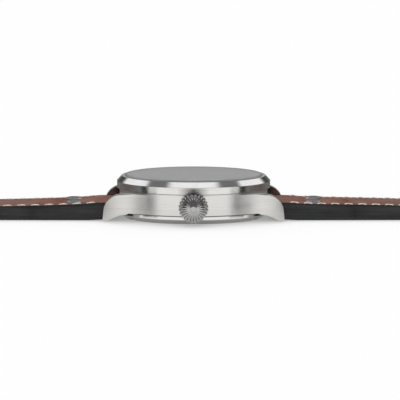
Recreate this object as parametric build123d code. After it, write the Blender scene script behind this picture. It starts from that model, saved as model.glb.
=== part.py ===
# A pilot's wristwatch with an automatic movement, on a riveted leather strap, laid out flat.
# Millimetres. The origin is on the case axis, on the plane that the case back rests on.
# +Z leaves through the crystal, +X runs to 12 o'clock and the buckle, -Y to 3 o'clock and the crown.
from build123d import *
from math import atan2, cos, degrees, hypot, pi, radians, sin, tan
import os

# Case body
case_radius = 21.0
case_floor = 2.05
case_roof = 8.05
case_wall = 2.1
case_bore_radius = case_radius - case_wall
lug_reach = 3.8
lug_to_lug = 2 * (case_radius + lug_reach)
lug_gap = 20.0
lug_tip_thickness = 3.2
lug_tip_width = lug_gap + 2 * lug_tip_thickness
lug_flare_angle = 11.0
lug_blend_radius = 9.0
lug_shoulder_height = 7.66
lug_shoulder_inset = 4.5
lug_shoulder_drop = 0.33
lug_nose_radius = 4.8
lug_nose_height = 3.0
lug_nose_inset = 0.25
lug_toe_height = 0.45
lug_toe_width = 0.8
lug_foot_height = 0.1
lug_arch_inset = 2.6
lug_arch_length = 3.0
lug_arch_start = case_radius - lug_arch_inset
lug_arch_end = lug_arch_start + lug_arch_length
lug_arch_height = 1.25
case_flat_depth = 0.8
case_flat = case_radius - case_flat_depth

# Bezel, crystal and inner ring
bezel_wall_height = 2.0
bezel_chamfer_height = 1.65
bezel_chamfer_width = 1.55
bezel_rim_width = 0.15
crystal_seat_radius = case_radius - bezel_chamfer_width - bezel_rim_width
crystal_gasket_width = 0.45
crystal_radius = crystal_seat_radius - crystal_gasket_width
crystal_seat_height = 9.9
crystal_stand_proud = 0.15
gasket_proud_drop = 0.3
inner_ring_foot_width = 1.3
inner_ring_top_width = 0.7
inner_ring_foot_radius = case_bore_radius - inner_ring_foot_width
inner_ring_top_radius = case_bore_radius - inner_ring_top_width
seat_clearance = 0.02

# Case back
back_inset = 0.7
back_radius = case_radius - back_inset
back_cone_width = 1.3
back_foot_radius = back_radius - back_cone_width
back_cone_height = 1.15
back_boss_height = 0.9
back_boss_width = 0.9
back_ring_width = 5.8
back_window_radius = back_radius - back_ring_width
back_window_thickness = 1.0
back_ring_rise = 0.2
back_gasket_width = 0.85
back_gasket_radius = case_bore_radius + back_gasket_width
back_gasket_height = 0.5
back_notches = 6
back_notch_width = 2.4
back_notch_depth = 0.7

# Crown, its tube and the stem
crown_height = 4.9
crown_gap = 0.35
crown_radius = 4.1
crown_length = 5.85
crown_flutes = 24
crown_bore_radius = 2.3
crown_bore_depth = 2.6
crown_station_shares = (0.0, 0.08, 0.3, 0.55, 0.76, 0.9)
crown_crest_shares = (0.84, 0.94, 1.0, 0.94, 0.74, 0.5)
crown_flute_shares = (0.12, 0.12, 0.12, 0.12, 0.12, 0.0)
crown_face_radius = 0.8
tube_radius = 1.9
tube_bore_radius = 0.7
tube_reach = 2.3
crown_gasket_width = 0.5
crown_gasket_inset = 0.7
stem_radius = 0.45
stem_hole_clearance = 0.1
stem_inner_end = 8.7

# Dial and hands
dial_edge_gap = 0.05
dial_radius = case_bore_radius - dial_edge_gap
dial_floor = 6.6
dial_thickness = 0.4
dial_hole_radius = 1.15
hour_hand_height = 7.5
minute_hand_height = 8.05
second_hand_height = 8.6
hand_thickness = 0.15
hour_hand_inset = 7.0
hour_hand_length = inner_ring_foot_radius - hour_hand_inset
hour_hand_width = 2.3
minute_hand_inset = 2.0
minute_hand_length = inner_ring_foot_radius - minute_hand_inset
minute_hand_width = 1.9
second_hand_inset = 1.0
second_hand_length = inner_ring_foot_radius - second_hand_inset
second_hand_width = 0.35
second_hand_tail = 4.6
hand_tail_share = 0.14
hand_widest_share = 0.5
hand_root_share = 0.42
hand_boss_radius = 1.35
second_tail_radius = 0.55
minute_hand_angle = 60.0
second_hand_angle = 210.0
hour_hand_angle = 305.0

# Movement frame
movement_radius = 12.8
ring_floor = 3.5
plate_floor = 4.1
motion_floor = 5.75
motion_pocket_radius = 3.0
minute_pocket_radius = 2.75
train_bridge_floor = 2.0
train_bridge_thickness = 0.7
barrel_bridge_floor = 3.3
barrel_bridge_thickness = 0.4
bridge_radius = 12.4
bridge_pillar_radius = 0.9
bridge_pillar_circle = 11.3
train_pillar_angles = (75.0, 165.0)
barrel_pillar_angles = (-80.0, 0.0)
bridge_split = 1.5
bridge_slot = 0.3
screw_radius = 0.5
screw_bite = 0.9
jewel_radius = 0.45
arbor_radius = 0.2
wheel_thickness = 0.15
running_gap = 0.03
tooth_tip_share = 0.8
tooth_root_share = 1.2

# Winding work and barrel
barrel_distance = 6.3
barrel_angle = -45.0
barrel_teeth = 36
centre_pinion_teeth = 6
barrel_floor = 3.75
barrel_rim_thickness = 0.3
barrel_drum_radius = 4.85
barrel_drum_height = 1.35
barrel_wall = 0.25
barrel_arbor_radius = 0.7
barrel_pocket_clearance = 0.2
mainspring_turns = 3
mainspring_thickness = 0.2
mainspring_height = 0.75
winding_wheel_floor = 2.95
winding_wheel_thickness = 0.3
ratchet_teeth = 30
crown_wheel_teeth = 21
crown_wheel_place = 7.2
winding_pinion_teeth = 14
winding_pinion_radius = 1.4
winding_pinion_inner = 9.3
winding_pinion_width = 1.0

# Going train
third_distance = 3.85
third_angle = 110.0
escape_distance = 3.75
escape_angle = 200.0
pallet_distance = 6.0
pallet_angle = 205.0
balance_distance = 8.35
balance_angle = 212.0
centre_wheel_teeth = 48
third_pinion_teeth = 6
third_wheel_teeth = 45
second_pinion_teeth = 6
second_wheel_teeth = 60
escape_pinion_teeth = 6
escape_teeth = 15
centre_wheel_floor = 3.5
centre_pinion_height = 0.4
centre_pipe_radius = 0.5
centre_pipe_bore = 0.28
centre_pipe_top = 7.6
third_wheel_floor = 3.15
second_wheel_floor = 2.78
escape_wheel_floor = 3.75
escape_radius = 1.95
escape_tooth_depth = 0.45
escape_tooth_shares = (0.25, 0.85)

# Escapement
fork_arm_length = 1.75
fork_width = 0.3
fork_spread = 2.3
fork_head_width = 0.8
pallet_cock_floor = 3.36
pallet_cock_thickness = 0.25
pallet_cock_foot = (-8.6, 0.0)
pallet_cock_foot_radius = 0.85
pallet_cock_width = 1.1
balance_radius = 4.0
balance_rim_width = 0.45
balance_floor = 2.78
balance_rim_height = 0.3
balance_arm_width = 0.4
balance_arms = 3
roller_radius = 0.6
roller_height = 0.25
collet_radius = 0.5
stud_radius = 0.25
balance_opening_clearance = 0.5
balance_cock_floor = 1.98
balance_cock_thickness = 0.4
balance_cock_width = 2.2
balance_cock_foot = (-4.3, -10.2)
balance_cock_foot_radius = 1.5
hairspring_floor = 2.47
hairspring_height = 0.12
hairspring_inner_radius = 0.6
hairspring_outer_radius = 2.4
hairspring_turns = 4
hairspring_thickness = 0.08

# Motion work under the dial
minute_wheel_distance = 3.2
minute_wheel_angle = -100.0
minute_wheel_teeth = 30
cannon_teeth = 10
hour_wheel_teeth = 32
minute_pinion_teeth = 8
cannon_radius = 0.78
cannon_floor = 5.85
minute_wheel_floor = 5.85
hour_wheel_floor = 6.13
hour_pipe_radius = 1.05

# Automatic rotor
rotor_radius = 12.3
rotor_rim_width = 1.9
rotor_floor = 1.2
rotor_plate_thickness = 0.3
rotor_rim_height = 0.65
rotor_hub_radius = 1.7
rotor_hub_height = 0.7
rotor_sweep_angle = 170.0
rotor_rest_angle = 20.0
rotor_screw_radius = 0.9
rotor_head_radius = 1.3
rotor_head_height = 0.15
rotor_window_share = 0.42

# Strap, shared by both halves
bar_inset = 2.2
bar_height = 2.6
strap_lug_width = 19.8
strap_end_width = 18.0
strap_taper_length = 50.0
strap_nose_radius = 2.2
strap_loop_length = 1.9
strap_top_thickness = 1.7
strap_lining_thickness = 1.1
strap_pad_rise = 1.95
strap_pad_length = 60.0
strap_pad_end = 0.12
strap_edge_drop = 0.6
strap_crest_share = 0.55
strap_bottom_settle = 6.0
station_gap = 0.5
pad_station_shares = (0.0, 0.0317, 0.05, 0.1, 0.167, 0.32, 0.53, 0.76, 1.0)
pad_rise_shares = (0.82, 0.95, 1.0, 0.96, 0.82, 0.66, 0.51, 0.28, 0.0)
pad_drop_shares = (0.0, 0.35, 0.7, 1.0, 1.0, 0.85, 0.6, 0.3, 0.0)
rivet_place = 10.3
rivet_spread = 9.2
rivet_radius = 2.35
rivet_sink = 0.35
rivet_head_height = 0.95
rivet_crown_share = 0.6
rivet_shank_radius = 0.9
rivet_clearance = 0.04

# Long half of the strap, at 6 o'clock
long_half_length = 118.0
strap_holes = 7
strap_hole_radius = 1.0
strap_hole_pitch = 6.5
strap_hole_first = 26.0

# Buckle half of the strap, at 12 o'clock
buckle_half_length = 75.0
keeper_lift = 1.3
keeper_lift_run = 12.0
keeper_lift_inset = 25.0
keeper_lift_end = buckle_half_length - keeper_lift_inset
keeper_lift_start = keeper_lift_end - keeper_lift_run
buckle_bar_radius = 0.75
buckle_nose_block = 1.5
tongue_slot_width = 3.0
tongue_slot_length = 4.5
keeper_thickness = 1.1
keeper_width = 5.0
keeper_side_clearance = 0.3
keeper_corner = 1.3
keeper_spare_height = 0.55
fixed_keeper_inset = 7.0
fixed_keeper_place = buckle_half_length - fixed_keeper_inset
free_keeper_gap = 3.5
free_keeper_place = fixed_keeper_place - keeper_width - free_keeper_gap
free_keeper_drop = 0.12

# Pin buckle
frame_leg_gap = 0.35
frame_leg_width = 2.3
frame_back = 1.9
frame_front = 13.2
frame_crossbar = 3.0
frame_thickness = 2.2
frame_curve_radius = 60.0
frame_corner = 3.2
tongue_width = 2.4
tongue_thickness = 0.95
tongue_ring_radius = 1.35
tongue_overhang = 0.5
tongue_rest_gap = 0.02

# Spring bars
bar_radius = 0.85
bar_bore_radius = 0.6
bar_clearance = 0.08
bar_end_gap = 0.35
bar_tip_radius = 0.42
bar_tip_reach = 1.3
bar_hole_clearance = 0.08
bar_hole_depth = 1.7
bar_bore_depth = 11.0
bar_plunger_length = 4.2
bar_spring_gap = 0.05

# Worked out from the sizes above
overrun = 1.0
bezel_roof = case_roof + bezel_wall_height + bezel_chamfer_height
crystal_roof = bezel_roof + crystal_stand_proud
dial_roof = dial_floor + dial_thickness
bar_place = lug_to_lug / 2 - bar_inset
strap_flat = strap_top_thickness + strap_lining_thickness
barrel_pitch = barrel_distance * barrel_teeth / (barrel_teeth + centre_pinion_teeth)
centre_pinion_pitch = barrel_distance - barrel_pitch


# Shapes shared by many pieces
def disc(radius, low, high, place=(0, 0)):
    """An upright cylinder from one height to another."""
    body = Cylinder(radius, high - low, align=(Align.CENTER, Align.CENTER, Align.MIN))
    return Pos(place[0], place[1], low) * body


def tube(outer, inner, low, high, place=(0, 0)):
    """An upright ring."""
    return disc(outer, low, high, place) - disc(inner, low - overrun, high + overrun, place)


def rod(radius, start, end, x=0, z=0):
    """A cylinder along Y from one place to another."""
    body = Cylinder(radius, abs(end - start), rotation=(90, 0, 0))
    return Pos(x, (start + end) / 2, z) * body


def turned(profile):
    """A ring turned about Z from its half section."""
    face = make_face(Polyline(*[(radius, 0, height) for radius, height in profile], close=True))
    return revolve(face, axis=Axis.Z)


def block(x_low, x_high, y_low, y_high, z_low, z_high):
    """A box between its limits."""
    body = Box(x_high - x_low, y_high - y_low, z_high - z_low, align=(Align.MIN, Align.MIN, Align.MIN))
    return Pos(x_low, y_low, z_low) * body


def polar(distance, angle):
    """A place in plan at a distance and an angle from the case axis."""
    return (distance * cos(radians(angle)), distance * sin(radians(angle)))


def bar_between(start, end, width, low, high):
    """A round-ended bar in plan between two places."""
    middle = ((start[0] + end[0]) / 2, (start[1] + end[1]) / 2)
    reach = hypot(end[0] - start[0], end[1] - start[1])
    turn = degrees(atan2(end[1] - start[1], end[0] - start[0]))
    outline = SlotCenterToCenter(reach, width)
    return Pos(middle[0], middle[1], low) * Rot(0, 0, turn) * extrude(outline, amount=high - low)


def gear_outline(pitch, teeth, start=0.0):
    """A toothed outline with one tip and one root to a tooth."""
    module = 2 * pitch / teeth
    tip = pitch + tooth_tip_share * module
    root = pitch - tooth_root_share * module
    step = 360 / teeth
    points = []
    for tooth in range(teeth):
        points.append(polar(tip, start + tooth * step))
        points.append(polar(root, start + (tooth + 0.5) * step))
    return Polygon(*points, align=None)


def gear(pitch, teeth, low, high, place=(0, 0), start=0.0):
    """A wheel or pinion with its teeth."""
    body = extrude(gear_outline(pitch, teeth, start), amount=high - low)
    return Pos(place[0], place[1], low) * body


def facing_start(own_place, other_place):
    """The direction from one place to another, where this wheel has a tip."""
    return degrees(atan2(other_place[1] - own_place[1], other_place[0] - own_place[0]))


def meshed_start(own_teeth, own_place, other_place):
    """The turn that puts a root of this wheel towards its neighbour's centre."""
    return facing_start(own_place, other_place) + 180 / own_teeth


# Case
def lug_side_profile():
    """The side view of the lugs at one end, from the case axis to the tip."""
    tip = lug_to_lug / 2
    shoulder = (tip - lug_shoulder_inset, lug_shoulder_height - lug_shoulder_drop)
    nose = (tip - lug_nose_inset, lug_nose_height)
    toe = (tip - lug_toe_width, lug_foot_height)
    root = case_radius - lug_shoulder_inset
    arch_end = (lug_arch_end, lug_arch_height)
    outline = (
        Line((0, lug_shoulder_height), (root, lug_shoulder_height))
        + Line((root, lug_shoulder_height), shoulder)
        + RadiusArc(shoulder, nose, lug_nose_radius)
        + Line(nose, (tip, lug_toe_height))
        + Line((tip, lug_toe_height), toe)
        + Line(toe, arch_end)
        + TangentArc((lug_arch_start, case_floor), arch_end, tangent=(1, 0))
        + Line((lug_arch_start, case_floor), (0, case_floor))
        + Line((0, case_floor), (0, lug_shoulder_height))
    )
    return Plane.XZ * make_face(outline)


def lugs():
    """Four horns that flow out of the round case."""
    tip = lug_to_lug / 2
    tip_side = lug_tip_width / 2
    root_side = tip_side + tip * tan(radians(lug_flare_angle))
    horns = Polygon(
        (-tip, -tip_side), (0, -root_side), (tip, -tip_side),
        (tip, tip_side), (0, root_side), (-tip, tip_side), align=None,
    )
    plan = Circle(case_radius) + horns
    inner_corners = plan.vertices().filter_by(lambda corner: abs(corner.X) < tip - lug_shoulder_inset)
    plan = fillet(inner_corners, lug_blend_radius)
    solid = extrude(plan, amount=case_roof)
    side = extrude(lug_side_profile(), amount=case_radius, both=True)
    horn_pair = solid & side
    return horn_pair + mirror(horn_pair, about=Plane.YZ)


def bar_holes():
    """Blind holes for the spring bars in the inner faces of the lugs."""
    reach = lug_gap / 2 + bar_hole_depth
    radius = bar_tip_radius + bar_hole_clearance
    hole = rod(radius, -reach, reach, bar_place, bar_height)
    return hole + rod(radius, -reach, reach, -bar_place, bar_height)


def mid_case():
    """The brushed case body with its lugs, bores and crown tube hole."""
    body = disc(case_radius, case_floor, case_roof) + lugs()
    body -= disc(case_bore_radius, 0, case_roof + overrun)
    body -= disc(back_gasket_radius, 0, case_floor + back_gasket_height)
    side = lug_gap / 2
    outer = lug_to_lug
    body -= block(case_flat, outer, -side, side, -overrun, case_roof + overrun)
    body -= block(-outer, -case_flat, -side, side, -overrun, case_roof + overrun)
    ring_cut = tube(outer, case_radius, -overrun, case_roof + overrun)
    body -= ring_cut & block(-outer, outer, -side, side, -overrun, case_roof + overrun)
    body -= block(-outer, outer, -side, side, -overrun, case_floor)
    body -= rod(tube_radius, -case_radius - overrun, -case_bore_radius + overrun, 0, crown_height)
    return body - bar_holes()


def bezel():
    """The bezel ring, brushed on its wall and polished on its chamfer."""
    wall_top = case_roof + bezel_wall_height
    rim = case_radius - bezel_chamfer_width
    return turned([
        (case_bore_radius, case_roof), (case_radius, case_roof), (case_radius, wall_top), (rim, bezel_roof),
        (crystal_seat_radius, bezel_roof), (crystal_seat_radius, crystal_seat_height),
        (case_bore_radius, crystal_seat_height),
    ])


def crystal():
    """The flat sapphire crystal."""
    return disc(crystal_radius, crystal_seat_height, crystal_roof)


def crystal_gasket():
    """The ring that the crystal is pressed into."""
    return tube(crystal_seat_radius, crystal_radius, crystal_seat_height, bezel_roof - gasket_proud_drop)


def inner_ring():
    """The sloping ring between the dial and the crystal."""
    outer = case_bore_radius - seat_clearance
    return turned([
        (inner_ring_foot_radius, dial_roof), (outer, dial_roof), (outer, crystal_seat_height),
        (inner_ring_top_radius, crystal_seat_height),
    ])


def case_back():
    """The screwed back with its threaded boss and wrench notches."""
    boss = case_bore_radius - seat_clearance
    boss_top = case_floor + back_boss_height
    ring = turned([
        (back_window_radius, 0), (back_foot_radius, 0), (back_radius, back_cone_height),
        (back_radius, case_floor), (boss, case_floor), (boss, boss_top), (boss - back_boss_width, boss_top),
        (back_window_radius, back_window_thickness + back_ring_rise),
    ])
    half_width = back_notch_width / 2
    inner = back_foot_radius - back_notch_depth
    notch = block(inner, back_radius + overrun, -half_width, half_width, -overrun, back_notch_depth)
    for index in range(back_notches):
        ring -= Rot(0, 0, (index + 0.5) * 360 / back_notches) * notch
    return ring


def back_window():
    """The glass in the case back."""
    return disc(back_window_radius, 0, back_window_thickness)


def back_gasket():
    """The seal in the groove round the back's thread."""
    return tube(back_gasket_radius, case_bore_radius, case_floor, case_floor + back_gasket_height)


# Crown and stem
def crown_tube():
    """The tube pressed into the case, which the crown runs on."""
    inner = -case_bore_radius
    outer = -case_radius - tube_reach
    outside = rod(tube_radius, inner, outer, 0, crown_height)
    return outside - rod(tube_bore_radius, inner + overrun, outer - overrun, 0, crown_height)


def crown_star(offset, crest, groove):
    """One fluted section of the crown."""
    step = 360 / crown_flutes
    points = []
    for flute in range(crown_flutes):
        points.append(polar(crest, flute * step))
        points.append(polar(groove, (flute + 0.5) * step))
    return Plane(origin=(0, -offset, 0), z_dir=(0, -1, 0)) * Polygon(*points, align=None)


def crown():
    """The onion crown with its flutes, hollow where it covers the tube."""
    sections = []
    for station, crest, flute in zip(crown_station_shares, crown_crest_shares, crown_flute_shares):
        radius = crown_radius * crest
        sections.append(crown_star(station * crown_length, radius, radius * (1 - flute)))
    body = loft(sections, ruled=True)
    shoulder = crown_radius * crown_crest_shares[-1] * cos(pi / crown_flutes)
    start = crown_length * crown_station_shares[-1]
    dome = make_face(
        Line((0, -start, 0), (shoulder, -start, 0))
        + Line((shoulder, -start, 0), (crown_face_radius, -crown_length, 0))
        + Line((crown_face_radius, -crown_length, 0), (0, -crown_length, 0))
        + Line((0, -crown_length, 0), (0, -start, 0))
    )
    body += revolve(dome, axis=Axis.Y)
    body -= rod(crown_bore_radius, overrun, -crown_bore_depth)
    return Pos(0, -case_radius - crown_gap, crown_height) * body


def crown_gasket():
    """The ring in the crown that slides on the tube."""
    start = -case_radius - crown_gap - crown_gasket_inset
    ring = rod(crown_bore_radius - running_gap, start, start - crown_gasket_width, 0, crown_height)
    return ring - rod(tube_radius + running_gap, start + overrun, start - overrun, 0, crown_height)


def winding_stem():
    """The stem from the crown into the movement."""
    outer_end = case_radius + crown_gap + crown_bore_depth
    return rod(stem_radius, -stem_inner_end, -outer_end, 0, crown_height)


# Dial and hands
def dial():
    """The dial blank with its centre hole."""
    return tube(dial_radius, dial_hole_radius, dial_floor, dial_roof)


def sword_hand(length, width, height, bore):
    """A sword-shaped hand with a boss, pointing to 12 o'clock."""
    root = width * hand_root_share / 2
    widest = length * hand_widest_share
    tail = length * hand_tail_share
    blade = Polygon(
        (-tail, -root), (0, -root), (widest, -width / 2), (length, 0),
        (widest, width / 2), (0, root), (-tail, root), align=None,
    )
    outline = blade + Circle(hand_boss_radius) - Circle(bore)
    return Pos(0, 0, height) * extrude(outline, amount=hand_thickness)


def hour_hand():
    """The hour hand on the hour wheel's pipe."""
    hand = sword_hand(hour_hand_length, hour_hand_width, hour_hand_height, hour_pipe_radius)
    return Rot(0, 0, -hour_hand_angle) * hand


def minute_hand():
    """The minute hand on the cannon pinion."""
    hand = sword_hand(minute_hand_length, minute_hand_width, minute_hand_height, cannon_radius)
    return Rot(0, 0, -minute_hand_angle) * hand


def second_hand():
    """The slim seconds hand with its counterweight tail."""
    needle = Rectangle(second_hand_length + second_hand_tail, second_hand_width)
    middle = (second_hand_length - second_hand_tail) / 2
    outline = Pos(middle, 0) * needle
    outline += Pos(-second_hand_tail, 0) * Circle(second_tail_radius)
    outline += Circle(hand_boss_radius / 2)
    outline -= Circle(arbor_radius)
    body = Pos(0, 0, second_hand_height) * extrude(outline, amount=hand_thickness)
    return Rot(0, 0, -second_hand_angle) * body


# Movement frame
barrel_place = polar(barrel_distance, barrel_angle)
third_place = polar(third_distance, third_angle)
escape_place = polar(escape_distance, escape_angle)
pallet_place = polar(pallet_distance, pallet_angle)
balance_place = polar(balance_distance, balance_angle)
minute_place = polar(minute_wheel_distance, minute_wheel_angle)
crown_wheel_centre = (0, -crown_wheel_place)


def movement_ring():
    """The holder between the movement and the case, under the dial."""
    ring = tube(case_bore_radius - seat_clearance, movement_radius, ring_floor, dial_floor)
    return ring - rod(stem_radius + 2 * stem_hole_clearance, -case_radius, -overrun, 0, crown_height)


def screw_seats():
    """Each movement screw's place in plan, and the height of its outer end."""
    seats = [(polar(bridge_pillar_circle, angle), train_bridge_floor) for angle in train_pillar_angles]
    seats += [(polar(bridge_pillar_circle, angle), barrel_bridge_floor) for angle in barrel_pillar_angles]
    seats += [(balance_cock_foot, balance_cock_floor), (pallet_cock_foot, pallet_cock_floor)]
    return seats


def screwed(bridge):
    """Cuts the holes of the movement's screws."""
    for place, low in screw_seats():
        bridge -= disc(screw_radius, low - overrun, plate_floor + overrun, place)
    return bridge


def main_plate():
    """The plate that carries every arbor, with its pockets."""
    plate = disc(movement_radius, plate_floor, dial_floor)
    plate -= disc(motion_pocket_radius, motion_floor, dial_floor + overrun)
    plate -= disc(minute_pocket_radius, motion_floor, dial_floor + overrun, minute_place)
    drum_roof = barrel_floor + barrel_drum_height + 2 * running_gap
    rim_radius = barrel_pitch + 2 * barrel_pocket_clearance
    plate -= disc(barrel_drum_radius + barrel_pocket_clearance, 0, drum_roof, barrel_place)
    plate -= disc(rim_radius, 0, barrel_floor + barrel_rim_thickness + barrel_pocket_clearance, barrel_place)
    plate -= disc(centre_pinion_pitch + barrel_pocket_clearance, 0, plate_floor + barrel_pocket_clearance)
    plate -= disc(centre_pipe_radius + running_gap, 0, dial_floor)
    plate -= rod(stem_radius + stem_hole_clearance, -movement_radius - overrun, -stem_inner_end + overrun,
                 0, crown_height)
    outer = -winding_pinion_inner - winding_pinion_width - stem_hole_clearance
    inner = -winding_pinion_inner + stem_hole_clearance
    side = winding_pinion_radius + 2 * stem_hole_clearance
    plate -= block(-side, side, outer, inner, 0, crown_height + side)
    for place, low in screw_seats():
        plate -= disc(screw_radius, 0, plate_floor + screw_bite, place)
    stud_end = hour_wheel_floor + wheel_thickness
    return plate + disc(arbor_radius, motion_floor, stud_end, minute_place)


def bridge_area():
    """The plan that the bridges share, open at the balance."""
    area = Circle(bridge_radius)
    opening = balance_radius + balance_opening_clearance
    area -= Pos(*balance_place) * Circle(opening)
    outward = polar(movement_radius, balance_angle)
    return area - Pos(*outward) * Rot(0, 0, balance_angle) * Rectangle(2 * opening, 2 * opening)


def half_plan(side):
    """The half plane on one side of the split between the bridges."""
    reach = 2 * bridge_radius
    shift = side * (reach / 2 + bridge_slot / 2)
    return Rot(0, 0, barrel_angle) * Pos(bridge_split + shift, 0) * Rectangle(reach, 2 * reach)


def with_pillars(bridge, angles, low):
    """Adds the feet of a bridge and cuts its screw holes."""
    for angle in angles:
        bridge += disc(bridge_pillar_radius, low, plate_floor, polar(bridge_pillar_circle, angle))
    return screwed(bridge)


def barrel_bridge():
    """The bridge over the barrel, cut back for the centre wheel and the winding pinion."""
    top = barrel_bridge_floor + barrel_bridge_thickness
    area = bridge_area() & half_plan(1)
    centre_pitch = third_distance * centre_wheel_teeth / (centre_wheel_teeth + third_pinion_teeth)
    area -= Circle(centre_pitch + 2 * barrel_pocket_clearance)
    side = winding_pinion_radius + 2 * stem_hole_clearance
    slot = Rectangle(2 * side, 2 * (winding_pinion_width + 2 * stem_hole_clearance))
    area -= Pos(0, -winding_pinion_inner - winding_pinion_width) * slot
    area -= Pos(*balance_cock_foot) * Circle(balance_cock_foot_radius + bridge_slot)
    bridge = Pos(0, 0, barrel_bridge_floor) * extrude(area, amount=barrel_bridge_thickness)
    bridge -= disc(barrel_arbor_radius / 2 + running_gap, 0, dial_floor, barrel_place)
    bridge -= disc(arbor_radius, 0, dial_floor, crown_wheel_centre)
    return with_pillars(bridge, barrel_pillar_angles, top)


def train_bridge():
    """The bridge over the going train, with the rotor's post."""
    top = train_bridge_floor + train_bridge_thickness
    area = bridge_area() & half_plan(-1)
    bridge = Pos(0, 0, train_bridge_floor) * extrude(area, amount=train_bridge_thickness)
    for place in ((0, 0), third_place, escape_place):
        bridge -= disc(jewel_radius, 0, dial_floor, place)
    return with_pillars(bridge, train_pillar_angles, top)


def hairspring_turn():
    """The turn that brings the hairspring's outer end over the balance cock."""
    return facing_start(balance_place, balance_cock_foot) + 180


def hairspring_end():
    """The place in plan of the hairspring's outer end."""
    arm = polar(hairspring_outer_radius, hairspring_turn() + 180)
    return (balance_place[0] + arm[0], balance_place[1] + arm[1])


def balance_cock():
    """The cock that carries the outer pivot of the balance."""
    top = balance_cock_floor + balance_cock_thickness
    cock = bar_between(balance_place, balance_cock_foot, balance_cock_width, balance_cock_floor, top)
    cock += disc(balance_cock_foot_radius, balance_cock_floor, plate_floor, balance_cock_foot)
    cock += disc(stud_radius, top, hairspring_floor, hairspring_end())
    return screwed(cock - disc(jewel_radius, 0, top + overrun, balance_place))


def pallet_cock():
    """The small cock over the pallet fork."""
    top = pallet_cock_floor + pallet_cock_thickness
    cock = bar_between(pallet_place, pallet_cock_foot, pallet_cock_width, pallet_cock_floor, top)
    cock += disc(pallet_cock_foot_radius, pallet_cock_floor, plate_floor, pallet_cock_foot)
    return screwed(cock - disc(arbor_radius + running_gap, 0, top + overrun, pallet_place))


def bridge_screws():
    """The screws that hold the bridges and cocks."""
    screws = [disc(screw_radius, low, plate_floor + screw_bite, place) for place, low in screw_seats()]
    return Compound(children=screws)


def jewels():
    """The ruby bearings pressed into the bridge and the balance cock."""
    bore = arbor_radius + running_gap
    top = train_bridge_floor + train_bridge_thickness
    places = ((0, 0), third_place, escape_place)
    stones = [tube(jewel_radius, bore, train_bridge_floor, top, place) for place in places]
    cock_top = balance_cock_floor + balance_cock_thickness
    stones.append(tube(jewel_radius, bore, balance_cock_floor, cock_top, balance_place))
    return Compound(children=stones)


# Barrel and winding work
def mainspring_barrel():
    """The closed barrel drum with the great wheel's teeth on its rim."""
    rim_top = barrel_floor + barrel_rim_thickness
    drum_top = barrel_floor + barrel_drum_height
    start = facing_start(barrel_place, (0, 0))
    body = gear(barrel_pitch, barrel_teeth, barrel_floor, rim_top, barrel_place, start)
    body += disc(barrel_drum_radius, barrel_floor, drum_top, barrel_place)
    inside = barrel_drum_radius - barrel_wall
    body -= disc(inside, barrel_floor + barrel_wall, drum_top - barrel_wall, barrel_place)
    return body - disc(barrel_arbor_radius + running_gap, 0, dial_floor, barrel_place)


def spiral_ribbon(inner, outer, turns, thickness, low, height, place):
    """A ribbon wound in half turns that step outwards."""
    steps = 2 * turns
    growth = (outer - inner) / steps
    edges = []
    for side in (-thickness / 2, thickness / 2):
        x = -inner
        line = []
        for index in range(steps):
            reach = 2 * (inner + (index + 0.5) * growth)
            direction = 1 if index % 2 == 0 else -1
            radius = reach / 2 + side
            middle_x = x + direction * reach / 2
            start = (middle_x - direction * radius, 0)
            top = (middle_x, direction * radius)
            end = (middle_x + direction * radius, 0)
            line.append(ThreePointArc(start, top, end))
            x += direction * reach
        edges.append(line)
    inner_line, outer_line = edges
    caps = [
        Line(inner_line[0] @ 0, outer_line[0] @ 0),
        Line(inner_line[-1] @ 1, outer_line[-1] @ 1),
    ]
    wire = Wire(inner_line + outer_line + caps)
    return Pos(place[0], place[1], low) * extrude(make_face(wire), amount=height)


def mainspring():
    """The spring wound inside the barrel."""
    low = barrel_floor + (barrel_drum_height - mainspring_height) / 2
    thickness = mainspring_thickness
    outer = barrel_drum_radius - barrel_wall - thickness
    inner = barrel_arbor_radius + 2 * thickness
    return spiral_ribbon(inner, outer, mainspring_turns, thickness, low, mainspring_height, barrel_place)


def barrel_arbor():
    """The arbor through the barrel and its bridge, which carries the ratchet wheel."""
    top = barrel_floor + barrel_drum_height
    thick = disc(barrel_arbor_radius, barrel_floor, top, barrel_place)
    return thick + disc(barrel_arbor_radius / 2, winding_wheel_floor, barrel_floor, barrel_place)


def winding_pitches():
    """The pitch radii of the ratchet wheel and the crown wheel."""
    apart = hypot(barrel_place[0] - crown_wheel_centre[0], barrel_place[1] - crown_wheel_centre[1])
    ratchet = apart * ratchet_teeth / (ratchet_teeth + crown_wheel_teeth)
    return ratchet, apart - ratchet


def ratchet_wheel():
    """The wheel on the barrel arbor."""
    top = winding_wheel_floor + winding_wheel_thickness
    start = facing_start(barrel_place, crown_wheel_centre)
    wheel = gear(winding_pitches()[0], ratchet_teeth, winding_wheel_floor, top, barrel_place, start)
    return wheel - disc(barrel_arbor_radius / 2, 0, dial_floor, barrel_place)


def crown_wheel():
    """The wheel between the winding pinion and the ratchet wheel."""
    pitch = winding_pitches()[1]
    top = winding_wheel_floor + winding_wheel_thickness
    start = meshed_start(crown_wheel_teeth, crown_wheel_centre, barrel_place)
    wheel = gear(pitch, crown_wheel_teeth, winding_wheel_floor, top, crown_wheel_centre, start)
    bridge_top = barrel_bridge_floor + barrel_bridge_thickness
    return wheel + disc(arbor_radius - running_gap, top, bridge_top, crown_wheel_centre)


def winding_pinion():
    """The pinion that the stem turns."""
    outline = gear_outline(winding_pinion_radius, winding_pinion_teeth)
    outline -= Circle(stem_radius + running_gap)
    plane = Plane(origin=(0, -winding_pinion_inner, crown_height), z_dir=(0, -1, 0))
    return extrude(plane * outline, amount=winding_pinion_width)


# Going train
def pitch_pair(distance, wheel_teeth, pinion_teeth):
    """The pitch radii of a wheel and the pinion that it drives."""
    wheel = distance * wheel_teeth / (wheel_teeth + pinion_teeth)
    return wheel, distance - wheel


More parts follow.
